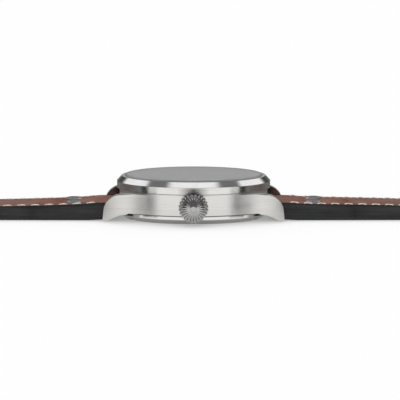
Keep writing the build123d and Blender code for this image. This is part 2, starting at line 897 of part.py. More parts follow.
def centre_wheel():
    """The centre wheel with its pinion and hollow pipe."""
    pitch = pitch_pair(third_distance, centre_wheel_teeth, third_pinion_teeth)[0]
    plate_top = centre_wheel_floor + wheel_thickness
    pinion_top = barrel_floor + centre_pinion_height
    wheel = gear(pitch, centre_wheel_teeth, centre_wheel_floor, plate_top, (0, 0), third_angle)
    start = meshed_start(centre_pinion_teeth, (0, 0), barrel_place)
    wheel += gear(centre_pinion_pitch, centre_pinion_teeth, plate_top, pinion_top, (0, 0), start)
    wheel += disc(centre_pipe_radius, pinion_top, centre_pipe_top)
    return wheel - disc(centre_pipe_bore, 0, crystal_roof)


def third_wheel():
    """The third wheel and pinion on their arbor."""
    pinion_pitch = pitch_pair(third_distance, centre_wheel_teeth, third_pinion_teeth)[1]
    wheel_pitch = pitch_pair(third_distance, third_wheel_teeth, second_pinion_teeth)[0]
    start = meshed_start(third_pinion_teeth, third_place, (0, 0))
    plate_top = third_wheel_floor + wheel_thickness
    pinion_top = centre_wheel_floor + wheel_thickness + running_gap
    toward = facing_start(third_place, (0, 0))
    wheel = gear(wheel_pitch, third_wheel_teeth, third_wheel_floor, plate_top, third_place, toward)
    wheel += gear(pinion_pitch, third_pinion_teeth, plate_top, pinion_top, third_place, start)
    return wheel + disc(arbor_radius, train_bridge_floor, plate_floor - running_gap, third_place)


def fourth_wheel():
    """The seconds wheel, whose arbor runs up through the centre wheel to the seconds hand."""
    wheel_pitch = pitch_pair(escape_distance, second_wheel_teeth, escape_pinion_teeth)[0]
    pinion_pitch = pitch_pair(third_distance, third_wheel_teeth, second_pinion_teeth)[1]
    plate_top = second_wheel_floor + wheel_thickness
    pinion_top = third_wheel_floor + 2 * wheel_thickness
    start = meshed_start(second_pinion_teeth, (0, 0), third_place)
    wheel = gear(wheel_pitch, second_wheel_teeth, second_wheel_floor, plate_top, (0, 0), escape_angle)
    wheel += gear(pinion_pitch, second_pinion_teeth, plate_top, pinion_top, (0, 0), start)
    return wheel + disc(arbor_radius, train_bridge_floor, second_hand_height + hand_thickness)


def escape_wheel():
    """The escape wheel with its pointed teeth, and its pinion."""
    pinion_pitch = pitch_pair(escape_distance, second_wheel_teeth, escape_pinion_teeth)[1]
    start = meshed_start(escape_pinion_teeth, escape_place, (0, 0))
    step = 360 / escape_teeth
    points = []
    for tooth in range(escape_teeth):
        points.append(polar(escape_radius, tooth * step))
        for share in escape_tooth_shares:
            points.append(polar(escape_radius - escape_tooth_depth, (tooth + share) * step))
    outline = Polygon(*points, align=None)
    wheel = Pos(*escape_place, escape_wheel_floor) * extrude(outline, amount=wheel_thickness)
    pinion_low = second_wheel_floor - running_gap
    pinion_top = second_wheel_floor + wheel_thickness + running_gap
    wheel += gear(pinion_pitch, escape_pinion_teeth, pinion_low, pinion_top, escape_place, start)
    return wheel + disc(arbor_radius, train_bridge_floor, plate_floor - running_gap, escape_place)


def pallet_fork():
    """The lever with its two pallets and its fork."""
    toward_escape = facing_start(pallet_place, escape_place)
    toward_balance = Rot(0, 0, facing_start(pallet_place, balance_place))
    outline = toward_balance * Pos(fork_arm_length / 2, 0) * Rectangle(fork_arm_length, fork_width)
    outline += toward_balance * Pos(fork_arm_length, 0) * Rectangle(fork_width, fork_head_width)
    outline += Rot(0, 0, toward_escape) * Rectangle(fork_width, fork_spread) + Circle(fork_width)
    lever = Pos(*pallet_place, escape_wheel_floor) * extrude(outline, amount=wheel_thickness)
    return lever + disc(arbor_radius, pallet_cock_floor, plate_floor - running_gap, pallet_place)


def balance_wheel():
    """The balance with its rim, arms, roller and staff."""
    top = balance_floor + balance_rim_height
    rim = Circle(balance_radius) - Circle(balance_radius - balance_rim_width)
    spoke = Pos(balance_radius / 2, 0) * Rectangle(balance_radius - balance_rim_width, balance_arm_width)
    for arm in range(balance_arms):
        rim += Rot(0, 0, arm * 360 / balance_arms) * spoke
    rim += Circle(balance_rim_width)
    wheel = Pos(*balance_place, balance_floor) * extrude(rim, amount=top - balance_floor)
    wheel += disc(collet_radius, hairspring_floor, balance_floor, balance_place)
    wheel += disc(roller_radius, top, top + roller_height, balance_place)
    return wheel + disc(arbor_radius, balance_cock_floor, plate_floor - running_gap, balance_place)


def hairspring():
    """The balance spring, wound in half turns round the staff."""
    coil = spiral_ribbon(
        hairspring_inner_radius, hairspring_outer_radius, hairspring_turns, hairspring_thickness,
        hairspring_floor, hairspring_height, (0, 0),
    )
    return Pos(*balance_place) * Rot(0, 0, hairspring_turn()) * coil


# Motion work
def cannon_pinion():
    """The pinion that slips on the centre wheel's pipe and carries the minute hand."""
    pitch = minute_wheel_distance * cannon_teeth / (cannon_teeth + minute_wheel_teeth)
    teeth_top = cannon_floor + wheel_thickness
    start = meshed_start(cannon_teeth, (0, 0), minute_place)
    pinion = gear(pitch, cannon_teeth, cannon_floor, teeth_top, (0, 0), start)
    pinion += disc(cannon_radius, teeth_top, minute_hand_height + hand_thickness)
    return pinion - disc(centre_pipe_radius + running_gap, 0, crystal_roof)


def minute_wheel():
    """The minute wheel with its pinion on the plate's stud."""
    wheel_pitch = minute_wheel_distance * minute_wheel_teeth / (cannon_teeth + minute_wheel_teeth)
    pinion_pitch = minute_wheel_distance * minute_pinion_teeth / (minute_pinion_teeth + hour_wheel_teeth)
    plate_top = minute_wheel_floor + wheel_thickness
    toward = facing_start(minute_place, (0, 0))
    wheel = gear(wheel_pitch, minute_wheel_teeth, minute_wheel_floor, plate_top, minute_place, toward)
    pinion_top = hour_wheel_floor + wheel_thickness + running_gap
    wheel += gear(pinion_pitch, minute_pinion_teeth, plate_top, pinion_top, minute_place,
                  meshed_start(minute_pinion_teeth, minute_place, (0, 0)))
    return wheel - disc(arbor_radius + running_gap, 0, dial_roof, minute_place)


def hour_wheel():
    """The hour wheel, whose pipe turns round the cannon pinion."""
    pitch = minute_wheel_distance * hour_wheel_teeth / (minute_pinion_teeth + hour_wheel_teeth)
    plate_top = hour_wheel_floor + wheel_thickness
    wheel = gear(pitch, hour_wheel_teeth, hour_wheel_floor, plate_top, (0, 0), minute_wheel_angle)
    wheel += disc(hour_pipe_radius, plate_top, hour_hand_height + hand_thickness)
    return wheel - disc(cannon_radius + running_gap, 0, crystal_roof)


# Rotor
def rotor():
    """The half-moon winding weight with its heavy rim and cut-outs."""
    low = rotor_floor
    rim_top = low + rotor_rim_height
    half = rotor_sweep_angle / 2
    inner = rotor_radius - rotor_rim_width
    reach = 2 * rotor_radius
    edge_low = polar(reach, -half)
    edge_high = polar(reach, half)
    sector = Polygon((0, 0), edge_low, (reach, edge_low[1]), (reach, edge_high[1]), edge_high, align=None)
    plate = Circle(rotor_radius) & sector
    plate += Circle(rotor_hub_radius)
    window = (Circle(inner - overrun) - Circle(inner * rotor_window_share)) & sector
    spoke = Rectangle(reach, rotor_rim_width)
    plate -= window - spoke - Rot(0, 0, half) * spoke - Rot(0, 0, -half) * spoke
    weight = Pos(0, 0, low) * extrude(plate, amount=rotor_plate_thickness)
    rim = (Circle(rotor_radius) - Circle(inner)) & sector
    weight += Pos(0, 0, low) * extrude(rim, amount=rim_top - low)
    weight += disc(rotor_hub_radius, low, low + rotor_hub_height)
    weight -= disc(rotor_screw_radius + running_gap, 0, plate_floor)
    return Rot(0, 0, rotor_rest_angle) * weight


def rotor_screw():
    """The post and screw head that the rotor turns on."""
    head_roof = rotor_floor - running_gap
    head = disc(rotor_head_radius, head_roof - rotor_head_height, head_roof)
    return head + disc(rotor_screw_radius, head_roof, train_bridge_floor)


# Strap
def interpolate(place, places, values):
    """The value at a place on a line of straight stretches."""
    for index in range(len(places) - 1):
        if place <= places[index + 1]:
            span = places[index + 1] - places[index]
            part = (place - places[index]) / span
            return values[index] + part * (values[index + 1] - values[index])
    return values[-1]


def strap_width(place):
    """The strap's width at a distance from its spring bar."""
    part = min(place / strap_taper_length, 1)
    return strap_lug_width + part * (strap_end_width - strap_lug_width)


def strap_bottom(place, lift):
    """The height of the strap's underside, which rises over the keepers on the buckle half."""
    nose_bottom = bar_height - strap_nose_radius
    settle = nose_bottom * max(1 - place / strap_bottom_settle, 0)
    rise = (place - keeper_lift_start) / (keeper_lift_end - keeper_lift_start)
    return settle + lift * min(max(rise, 0), 1)


def pad_rise(place):
    """The thickness of the padding at a distance from the spring bar."""
    places = [share * strap_pad_length for share in pad_station_shares]
    return strap_pad_rise * interpolate(place, places, pad_rise_shares)


def edge_drop(place):
    """How far the strap's edges lie below its middle."""
    places = [share * strap_pad_length for share in pad_station_shares]
    return strap_edge_drop * interpolate(place, places, pad_drop_shares)


def strap_stations(start, end):
    """The places along the strap where its section is drawn."""
    bends = [share * strap_pad_length for share in pad_station_shares]
    bends += [strap_bottom_settle, keeper_lift_start, keeper_lift_end, strap_taper_length]
    inside = [bend for bend in bends if start + station_gap < bend < end - station_gap]
    kept = [start]
    for bend in sorted(inside):
        if bend - kept[-1] > station_gap:
            kept.append(bend)
    return kept + [end]


def strap_layer(start, end, low, high, drop):
    """A leather layer drawn through its sections, with a top that falls away to the edges."""
    sections = []
    for place in strap_stations(start, end):
        side = strap_width(place) / 2
        crest = side * strap_crest_share
        x = bar_place + place
        edge = high(place) - drop(place)
        lower = [(x, -side, low(place)), (x, side, low(place))]
        upper = [(x, side, edge), (x, crest, high(place)), (x, -crest, high(place)), (x, -side, edge)]
        sections.append(make_face(Polyline(*lower, *upper, close=True)))
    return loft(sections, ruled=True)


def strap_slab(start, end, low, high):
    """A flat layer between two heights that follow the strap."""
    sections = []
    for place in strap_stations(start, end):
        side = strap_width(place) / 2
        x = bar_place + place
        lower = [(x, -side, low(place)), (x, side, low(place))]
        upper = [(x, side, high(place)), (x, -side, high(place))]
        sections.append(make_face(Polyline(*lower, *upper, close=True)))
    return loft(sections, ruled=True)


def rivet_places():
    """The two rivets across the strap."""
    x = bar_place + rivet_place
    return ((x, -rivet_spread / 2), (x, rivet_spread / 2))


def rivet_seat(lift):
    """The height of a rivet head's seat in the leather."""
    return strap_bottom(rivet_place, lift) + strap_flat + pad_rise(rivet_place) - rivet_sink


def rivets(lift):
    """Rivets with sloping heads through all the layers, near the lugs."""
    seat = rivet_seat(lift)
    bottom = strap_bottom(rivet_place, lift)
    upright = (Align.CENTER, Align.CENTER, Align.MIN)
    head = Cone(rivet_radius, rivet_radius * rivet_crown_share, rivet_head_height, align=upright)
    pins = []
    for place in rivet_places():
        shank = disc(rivet_shank_radius, bottom + rivet_clearance, seat, place)
        pins.append(Pos(*place, seat) * head + shank)
    return Compound(children=pins)


def riveted(layer, lift):
    """Cuts the rivet holes and head seats of a layer."""
    for place in rivet_places():
        layer -= disc(rivet_shank_radius + rivet_clearance, -overrun, dial_floor, place)
        layer -= disc(rivet_radius + rivet_clearance, rivet_seat(lift), dial_roof, place)
    return layer


def bar_loop(lift):
    """The fold of the top leather round the spring bar."""
    side = strap_lug_width / 2
    end = strap_loop_length
    lining_top_start = strap_bottom(0, lift) + strap_lining_thickness
    lining_top_end = strap_bottom(end, lift) + strap_lining_thickness
    roof_end = strap_bottom(end, lift) + strap_flat + pad_rise(end) - edge_drop(end)
    top = bar_height + strap_nose_radius
    bottom = bar_height - strap_nose_radius
    x = bar_place
    outline = make_face(
        ThreePointArc((x, 0, top), (x - strap_nose_radius, 0, bar_height), (x, 0, bottom))
        + Line((x, 0, bottom), (x, 0, lining_top_start))
        + Line((x, 0, lining_top_start), (x + end, 0, lining_top_end))
        + Line((x + end, 0, lining_top_end), (x + end, 0, roof_end))
        + Line((x + end, 0, roof_end), (x, 0, top))
    )
    return extrude(outline, amount=side, both=True)


def strap_top(length, lift):
    """The top leather, folded round the spring bar."""
    def inside(place):
        return strap_bottom(place, lift) + strap_lining_thickness + pad_rise(place)

    def roof(place):
        return inside(place) + strap_top_thickness

    leather = strap_layer(0, length, inside, roof, edge_drop) + bar_loop(lift)
    leather -= rod(bar_radius + bar_clearance, -lug_gap, lug_gap, bar_place, bar_height)
    return riveted(leather, lift)


def strap_padding(lift):
    """The filler between the leathers, thickest at the lugs."""
    def low(place):
        return strap_bottom(place, lift) + strap_lining_thickness

    def high(place):
        return low(place) + pad_rise(place)

    end = strap_pad_length * (1 - strap_pad_end)
    return riveted(strap_slab(strap_loop_length, end, low, high), lift)


def strap_lining(length, lift):
    """The lining on the wrist side."""
    def low(place):
        return strap_bottom(place, lift)

    def high(place):
        return low(place) + strap_lining_thickness

    return riveted(strap_slab(0, length, low, high), lift)


def long_tip(layer):
    """Rounds the tip of the long half and punches its holes."""
    tip_radius = strap_end_width / 2
    tip_centre = bar_place + long_half_length - tip_radius
    plan = Pos((tip_centre - bar_place) / 2, 0) * Rectangle(tip_centre + bar_place, 2 * strap_lug_width)
    plan += Pos(tip_centre, 0) * Circle(tip_radius)
    shaped = layer & Pos(0, 0, -overrun) * extrude(plan, amount=crystal_roof)
    for index in range(strap_holes):
        x = bar_place + long_half_length - strap_hole_first - index * strap_hole_pitch
        shaped -= disc(strap_hole_radius, -overrun, dial_floor, (x, 0))
    return shaped


def at_six(shape):
    """Turns a piece built at 12 o'clock round to 6 o'clock."""
    return Rot(0, 0, 180) * shape


def buckle_axis():
    """The place and height of the buckle bar."""
    return bar_place + buckle_half_length, keeper_lift + strap_flat / 2


def tongue_slot():
    """The cut at the buckle end that the tongue's ring turns in."""
    x, z = buckle_axis()
    half = tongue_slot_width / 2
    return block(x - tongue_slot_length, x + strap_flat, -half, half, z - strap_flat, z + strap_flat)


def buckle_top():
    """The top leather of the buckle half, folded round the buckle bar."""
    x, z = buckle_axis()
    side = strap_end_width / 2
    fold = rod(strap_flat / 2, -side, side, x, z)
    fold += block(x - buckle_nose_block, x, -side, side, keeper_lift, keeper_lift + strap_flat)
    leather = strap_top(buckle_half_length, keeper_lift) + fold
    return leather - rod(buckle_bar_radius + bar_clearance, -lug_gap, lug_gap, x, z) - tongue_slot()


def buckle_lining():
    """The lining of the buckle half, which stops short of the fold."""
    return strap_lining(buckle_half_length - buckle_nose_block, keeper_lift) - tongue_slot()


def keeper(place, drop):
    """A leather loop round the strap with room for the long half's end."""
    inner_width = strap_end_width + 2 * keeper_side_clearance
    inner_height = 2 * strap_flat + keeper_spare_height + drop
    outer_width = inner_width + 2 * keeper_thickness
    outer_height = inner_height + 2 * keeper_thickness
    inner_floor = keeper_lift - drop
    middle = inner_floor + inner_height / 2
    outline = RectangleRounded(outer_width, outer_height, keeper_corner)
    outline -= RectangleRounded(inner_width, inner_height, keeper_corner - keeper_thickness)
    start = bar_place + place - keeper_width / 2
    plane = Plane(origin=(start, 0, middle), x_dir=(0, 1, 0), z_dir=(1, 0, 0))
    return extrude(plane * outline, amount=keeper_width)


# Buckle
def frame_sheet(inner, outer, width):
    """A curved sheet over the buckle, about the frame's centre of curvature."""
    x, z = buckle_axis()
    crest = z + frame_thickness / 2
    body = rod(outer, -width / 2, width / 2) - rod(inner, -width, width)
    return Pos(x, 0, crest - frame_curve_radius) * body


def buckle_frame():
    """The curved frame with two legs and a crossbar."""
    x, z = buckle_axis()
    inner_side = strap_end_width / 2 + frame_leg_gap
    outer_side = inner_side + frame_leg_width
    length = frame_back + frame_front
    plan = Pos(x - frame_back + length / 2, 0) * RectangleRounded(length, 2 * outer_side, frame_corner / 2)
    gap_length = length - frame_crossbar + overrun
    plan -= Pos(x - frame_back - overrun + gap_length / 2, 0) * Rectangle(gap_length, 2 * inner_side)
    solid = Pos(0, 0, -overrun) * extrude(plan, amount=dial_floor)
    frame = solid & frame_sheet(frame_curve_radius - frame_thickness, frame_curve_radius, 2 * outer_side)
    return frame - rod(buckle_bar_radius, -2 * outer_side, 2 * outer_side, x, z)


def buckle_bar():
    """The bar through the frame's legs."""
    x, z = buckle_axis()
    side = strap_end_width / 2 + frame_leg_gap + frame_leg_width
    return rod(buckle_bar_radius, -side, side, x, z)


def buckle_tongue():
    """The tongue, ringed round the bar and resting on the crossbar."""
    x, z = buckle_axis()
    half = tongue_width / 2
    inner = frame_curve_radius + tongue_rest_gap
    prong = frame_sheet(inner, inner + tongue_thickness, tongue_width)
    prong &= block(x, x + frame_front + tongue_overhang, -half, half, 0, dial_floor)
    ring = rod(tongue_ring_radius, -half, half, x, z)
    return prong + ring - rod(buckle_bar_radius + bar_clearance, -2 * half, 2 * half, x, z)


# Spring bars
def spring_bar():
    """The tube of a spring bar, with its fixed tip on the far side."""
    side = lug_gap / 2 - bar_end_gap
    body = rod(bar_radius, -side, side, bar_place, bar_height)
    body += rod(bar_tip_radius, side, lug_gap / 2 + bar_tip_reach, bar_place, bar_height)
    return body - rod(bar_bore_radius, -side - overrun, -side + bar_bore_depth, bar_place, bar_height)


def spring_bar_tip():
    """The sliding tip and its plunger."""
    side = lug_gap / 2 - bar_end_gap
    tip = rod(bar_tip_radius, -lug_gap / 2 - bar_tip_reach, -side + running_gap, bar_place, bar_height)
    plunger = rod(bar_bore_radius - running_gap, -side, -side + bar_plunger_length, bar_place, bar_height)
    return tip + plunger


def spring_bar_spring():
    """The spring behind the plunger, as its outer sleeve."""
    side = lug_gap / 2 - bar_end_gap
    start = -side + bar_plunger_length + running_gap
    end = -side + bar_bore_depth
    sleeve = rod(bar_bore_radius - bar_spring_gap, start, end, bar_place, bar_height)
    return sleeve - rod(bar_bore_radius / 2, start - overrun, end + overrun, bar_place, bar_height)


pieces = {
    "mid_case": mid_case(),
    "bezel": bezel(),
    "crystal": crystal(),
    "crystal_gasket": crystal_gasket(),
    "inner_ring": inner_ring(),
    "case_back": case_back(),
    "back_window": back_window(),
    "back_gasket": back_gasket(),
    "crown_tube": crown_tube(),
    "crown": crown(),
    "crown_gasket": crown_gasket(),
    "winding_stem": winding_stem(),
    "dial": dial(),
    "hour_hand": hour_hand(),
    "minute_hand": minute_hand(),
    "second_hand": second_hand(),
    "cannon_pinion": cannon_pinion(),
    "minute_wheel": minute_wheel(),
    "hour_wheel": hour_wheel(),
    "movement_ring": movement_ring(),
    "main_plate": main_plate(),
    "barrel_bridge": barrel_bridge(),
    "train_bridge": train_bridge(),
    "balance_cock": balance_cock(),
    "pallet_cock": pallet_cock(),
    "bridge_screws": bridge_screws(),
    "jewels": jewels(),
    "mainspring_barrel": mainspring_barrel(),
    "mainspring": mainspring(),
    "barrel_arbor": barrel_arbor(),
    "ratchet_wheel": ratchet_wheel(),
    "crown_wheel": crown_wheel(),
    "winding_pinion": winding_pinion(),
    "centre_wheel": centre_wheel(),
    "third_wheel": third_wheel(),
    "fourth_wheel": fourth_wheel(),
    "escape_wheel": escape_wheel(),
    "pallet_fork": pallet_fork(),
    "balance_wheel": balance_wheel(),
    "hairspring": hairspring(),
    "rotor": rotor(),
    "rotor_screw": rotor_screw(),
    "strap_12_top": buckle_top(),
    "strap_12_padding": strap_padding(keeper_lift),
    "strap_12_lining": buckle_lining(),
    "strap_12_rivets": rivets(keeper_lift),
    "strap_6_top": at_six(long_tip(strap_top(long_half_length, 0))),
    "strap_6_padding": at_six(strap_padding(0)),
    "strap_6_lining": at_six(long_tip(strap_lining(long_half_length, 0))),
    "strap_6_rivets": at_six(rivets(0)),
    "fixed_keeper": keeper(fixed_keeper_place, 0),
    "free_keeper": keeper(free_keeper_place, free_keeper_drop),
    "buckle_frame": buckle_frame(),
    "buckle_bar": buckle_bar(),
    "buckle_tongue": buckle_tongue(),
    "spring_bars": Compound(children=[spring_bar(), at_six(spring_bar())]),
    "spring_bar_12_tip": spring_bar_tip(),
    "spring_bar_12_spring": spring_bar_spring(),
    "spring_bar_6_tip": at_six(spring_bar_tip()),
    "spring_bar_6_spring": at_six(spring_bar_spring()),
}

os.makedirs("parts", exist_ok=True)
for name, solid in pieces.items():
    export_step(solid, f"parts/{name}.step")
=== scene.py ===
# The looks of the pilot's wristwatch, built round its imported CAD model, in the CAD's own frame.
# Shapes are worked out in millimetres and turned into metres when their mesh is made.
import bmesh
import bpy
from collections import namedtuple
from math import asin, atan2, cos, exp, hypot, pi, radians, sin, sqrt
from mathutils import Matrix, Vector


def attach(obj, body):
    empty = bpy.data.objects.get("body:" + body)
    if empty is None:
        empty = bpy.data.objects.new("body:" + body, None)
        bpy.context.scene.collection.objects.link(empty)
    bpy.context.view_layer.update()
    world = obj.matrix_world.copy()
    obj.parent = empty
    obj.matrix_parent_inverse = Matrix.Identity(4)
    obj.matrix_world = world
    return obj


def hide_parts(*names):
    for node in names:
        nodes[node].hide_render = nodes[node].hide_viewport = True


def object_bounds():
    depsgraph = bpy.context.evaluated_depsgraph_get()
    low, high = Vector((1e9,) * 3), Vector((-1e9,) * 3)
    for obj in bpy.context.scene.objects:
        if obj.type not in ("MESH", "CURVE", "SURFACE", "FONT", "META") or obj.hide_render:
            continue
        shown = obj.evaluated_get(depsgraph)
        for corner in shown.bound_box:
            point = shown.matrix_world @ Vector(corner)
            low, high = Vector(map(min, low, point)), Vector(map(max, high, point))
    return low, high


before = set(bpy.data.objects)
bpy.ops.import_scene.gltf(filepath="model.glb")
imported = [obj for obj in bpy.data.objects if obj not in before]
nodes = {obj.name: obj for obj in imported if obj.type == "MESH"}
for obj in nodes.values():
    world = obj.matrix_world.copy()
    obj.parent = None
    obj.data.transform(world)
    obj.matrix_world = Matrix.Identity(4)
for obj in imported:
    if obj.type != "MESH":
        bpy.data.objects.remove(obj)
cad_low, cad_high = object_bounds()
mm = 0.001

# The photograph's frame: where the case axis and the table meet it, and its scale in pixels a millimetre
photo_side = 400
photo_axis_x = 193.6
photo_table_y = 216.3
photo_scale = 3.643
view_elevation = 6.315
camera_distance = 1.5
sensor_width = 36.0
clip_end = 50.0

# Meshes
turn_steps = 240
rim_least_pitch = 0.4
dial_steps = 180
corner_steps = 3
merge_distance = 0.001
soft_flat_angle = 0.4
soft_least_angle = 35

# Case
case_radius = 21.0
case_bore_radius = 18.9
case_foot = 2.05
case_foot_chamfer = 0.32
case_axis_height = 4.9
case_flat = 20.2
case_flat_overrun = 0.5
case_flank_bevel = 0.32
case_edge_bevel = 0.11
case_flat_angle = 0.05
bevel_least_angle = 25
inside_margin = 1.0
flank_margin = 0.5
horn_margin = 0.02
upright_normal = 0.1
under_normal = -0.3
inner_normal = 0.99
cut_floor = -2
tube_radius = 1.9
tube_overrun = 1.0
tube_steps = 48
lug_gap = 20.0
lug_tip = 24.8
lug_tip_side = 13.2
lug_flare = 11.0
lug_blend_radius = 18.0
lug_blend_steps = 14
lug_root_share = 0.9
lug_top = 7.66
lug_shoulder_start = 16.5
lug_shoulder = (20.3, 7.33)
lug_nose = (24.55, 3.0)
lug_nose_radius = 4.8
lug_nose_steps = 16
lug_toe_height = 0.45
lug_toe = (24.0, 0.1)
lug_arch_start = 18.4
lug_arch_end = (21.4, 1.25)
lug_arch_steps = 10
lug_step_run = 0.7
lug_step_margin = 0.02
bar_hole_radius = 0.43
bar_hole_depth = 1.7
bar_hole_steps = 24
near = 0.1

# Bezel, crystal and case back
bezel_foot = 8.05
bezel_foot_chamfer = (0.2, 0.15)
bezel_wall_top = 10.05
bezel_roof = 11.46
bezel_rim_radius = 19.68
bezel_corners = (0, 0, 0, 0.12, 0.06, 0.04, 0, 0)
wall_tolerance = 0.04
crystal_seat_radius = 19.3
crystal_seat_height = 9.9
crystal_radius = 18.85
crystal_roof = 11.85
crystal_chamfer = 0.35
crystal_corner = 0.1
slanted_normals = (0.1, 0.98)
gasket_roof = 11.42
back_bevel = 0.07
back_cone_height = 1.16
back_flat_normal = -0.95

# Crown
crown_start = -21.35
crown_radius = 4.1
crown_length = 5.85
crown_ribs = 24
crown_rib_points = 12
crown_bore_radius = 2.3
crown_bore_depth = 2.6
crown_profile = (
    (0.0, 0.84), (0.08, 0.94), (0.18, 0.985), (0.3, 1.0), (0.43, 0.985), (0.55, 0.94), (0.66, 0.86),
    (0.76, 0.74), (0.84, 0.62), (0.9, 0.5), (0.945, 0.38), (0.975, 0.28), (0.99, 0.215),
)
crown_rib_depth = 0.13
crown_rib_fade_start = 0.54
crown_rib_fade_end = 0.34
crown_rib_sharpness = 0.98
crown_face_radius = 0.8
crown_face_step = 0.05
crown_face_sink = 0.06
crown_face_ring = 0.4
crown_centre_radius = 0.1

# Strap
bar_place = 22.6
bar_height = 2.6
strap_lug_width = 19.8
strap_end_width = 18.0
strap_taper_length = 50.0
strap_nose_radius = 2.2
strap_nose_steps = 9
strap_lining_thickness = 1.1
strap_flat = 2.8
strap_pad_rise = 1.95
strap_pad_length = 60.0
strap_pad_smoothing = 1.5
strap_edge_drop = 0.06
strap_shoulder = 0.3
strap_bottom_settle = 6.0
strap_step = 1.2
strap_tip_steps = 30
end_angle = 4
pad_shares = (0.0, 0.0317, 0.05, 0.1, 0.167, 0.32, 0.53, 0.76, 1.0)
pad_rise_shares = (0.82, 0.95, 1.0, 0.96, 0.82, 0.66, 0.51, 0.28, 0.0)
buckle_rise_shares = (0.82, 0.95, 1.0, 0.98, 0.88, 0.8, 0.66, 0.36, 0.0)
pad_drop_shares = (0.0, 0.35, 0.7, 1.0, 1.0, 0.85, 0.6, 0.3, 0.0)
lining_shares = (0.0, 0.25, 0.5, 0.75)
top_shares = (0.85, 0.72, 0.6, 0.48, 0.36, 0.24, 0.12, 0.0)
edge_top_round = 0.4
edge_low_round = 0.3
edge_round_share = 0.45
edge_round_steps = 4
edge_seam_depth = 0.05
edge_seam_half_width = 0.16
edge_seam_margin = 0.01
long_half_length = 118.0
buckle_half_length = 75.0
keeper_lift = 1.3
keeper_lift_start = 38.0
keeper_lift_end = 50.0
fold_radius = 1.4
fold_steps = 8
strap_holes = 7
strap_hole_radius = 1.0
strap_hole_pitch = 6.5
strap_hole_first = 26.0
strap_hole_depth = 20.0
tongue_slot_width = 3.0
tongue_slot_length = 4.5
tongue_slot_reach = 12.0
tongue_slot_depth = 28.0
punch_depth = 30.0
punch_steps = 32

# Stitches and rivets
stitch_inset = 1.25
stitch_pitch = 3.7
stitch_length = 2.75
stitch_first = 3.6
stitch_last = 5.0
stitch_turn = 0.06
stitch_plies = 2
stitch_rings = 9
stitch_sides = 6
thread_radius = 0.21
thread_twist = 0.8
thread_ply_offset = 0.5
thread_arch = 1.75
thread_sink = 1.35
thread_ply_lift = 0.28
thread_breadth = 0.85
thread_thickness = 0.75
thread_sink_below = 0.95
thread_channel_share = 0.1
channel_depth = 0.16
channel_width = 0.3
channel_shifts = (-2, -1, -0.5, 0, 0.5, 1, 2)
channel_below = 1.6
channel_lead = 0.6
channel_fade = 0.8
channel_end = 4.0
rivet_place = 10.3
rivet_spread = 9.2
rivet_sink = 0.35
rivet_foot = 0.05
rivet_shank_radius = 0.9
rivet_head = ((2.35, 0.0), (2.35, 0.3), (2.23, 0.52), (1.692, 0.85), (0.987, 0.94), (0.0, 0.95))
rivet_corners = (0, 0, 0, 0.05, 0.2, 0.15, 0.8, 0.6, 0)
rivet_corner_steps = 4
rivet_steps = 64

# Keepers and buckle
keeper_width = 5.0
keeper_thickness = 1.1
keeper_inner_width = 18.6
keeper_inner_height = 6.15
keeper_outer_corner = 1.3
keeper_corner_steps = 8
keeper_edge_round = 0.42
keeper_edge_steps = 5
keeper_face_tolerance = 0.06
fixed_keeper_place = 68.0
free_keeper_place = 59.5
free_keeper_drop = 0.12
buckle_bevel = 0.45
tongue_bevel = 0.28

# Dial and hands
dial_roof = 7.0
dial_thickness = 0.4
dial_radius = 18.85
dial_hole_radius = 1.15
print_height = 0.03
numeral_radius = 12.7
numeral_size = 4.0
numeral_offset = 0.02
track_radius = 16.9
track_overhang = 0.6
track_marks = ((1.3, 0.22), (1.9, 0.6))
triangle_size = 2.4
triangle_share = 0.55
triangle_height_share = 0.85
triangle_inset = 2.1
triangle_dot_radius = 0.42
triangle_dot_inset = 3.0
triangle_dot_steps = 20
lume_height = 0.05

# Studio, in metres and degrees
table_reach = 6.0
table_glow = 0.3
card_sink = 0.00001
card_height = 0.016
low_card_height = 0.0058
black_card = ((0.045, -0.0174), (0.045, -0.0273))
grey_card = ((0.045, -0.0174), (0.04, 0.02), (0.02, 0.04))
low_card = ((0.03, -0.0165), (0.03, -0.031))
# The dark card over the crown: painted shade for the crown's shadow on the bezel wall
crown_card = (0.0056, -0.0232, 0.0074, 0.00985)
crown_card_thin = 0.12
sky_fill = 0.85
back_strength = 1.0
back_spread = 50.0
back_tilt = -40.0
# Patches of sky: from and to round the watch, from and to in height, each with its soft edge, and how dark
sky_dark = (
    ((-20, -10, 190, 200), (12, 22, 95, 100), 0.82),
    ((66, 72, 88, 94), (-20, -10, 25, 40), 0.95),
    ((86, 94, 118, 128), (-20, -10, 18, 30), 0.65),
    ((118, 128, 166, 172), (-20, -10, 18, 30), 0.93),
    ((160, 170, 190, 200), (-20, -10, 12, 18), 0.52),
)
sky_light = (
    ((104, 114, 144, 154), (18, 26, 48, 54)),
)
sky_softbox = ((-0.44, -0.3, 0.3, 0.44), (-0.3, -0.2, -0.06, 0.02))
sky_overhead = (0.6, 0.8)
sky_overrun = 0.01


# Meshes
def clamped(value):
    return min(max(value, 0), 1)


def eased(value):
    """A value from 0 to 1 with a soft start and end."""
    part = clamped(value)
    return part * part * (3 - 2 * part)


def placed(name, data):
    """A new object in the scene."""
    obj = bpy.data.objects.new(name, data)
    bpy.context.scene.collection.objects.link(obj)
    return obj


def opened(obj):
    """An object's mesh, open for edits."""
    bm = bmesh.new()
    bm.from_mesh(obj.data)
    return bm


def cleaned(obj, distance, flat_angle):
    """An object's mesh, open for edits, without doubled points and the edges of flat faces."""
    bm = opened(obj)
    bmesh.ops.remove_doubles(bm, verts=bm.verts, dist=distance * mm)
    bmesh.ops.dissolve_limit(bm, angle_limit=radians(flat_angle), verts=bm.verts, edges=bm.edges)
    return bm


def closed(bm, mesh):
    """Writes the edits to a mesh."""
    bm.to_mesh(mesh)
    bm.free()


def built(name, bm):
    """An object from an edited mesh."""
    mesh = bpy.data.meshes.new(name)
    closed(bm, mesh)
    return placed(name, mesh)


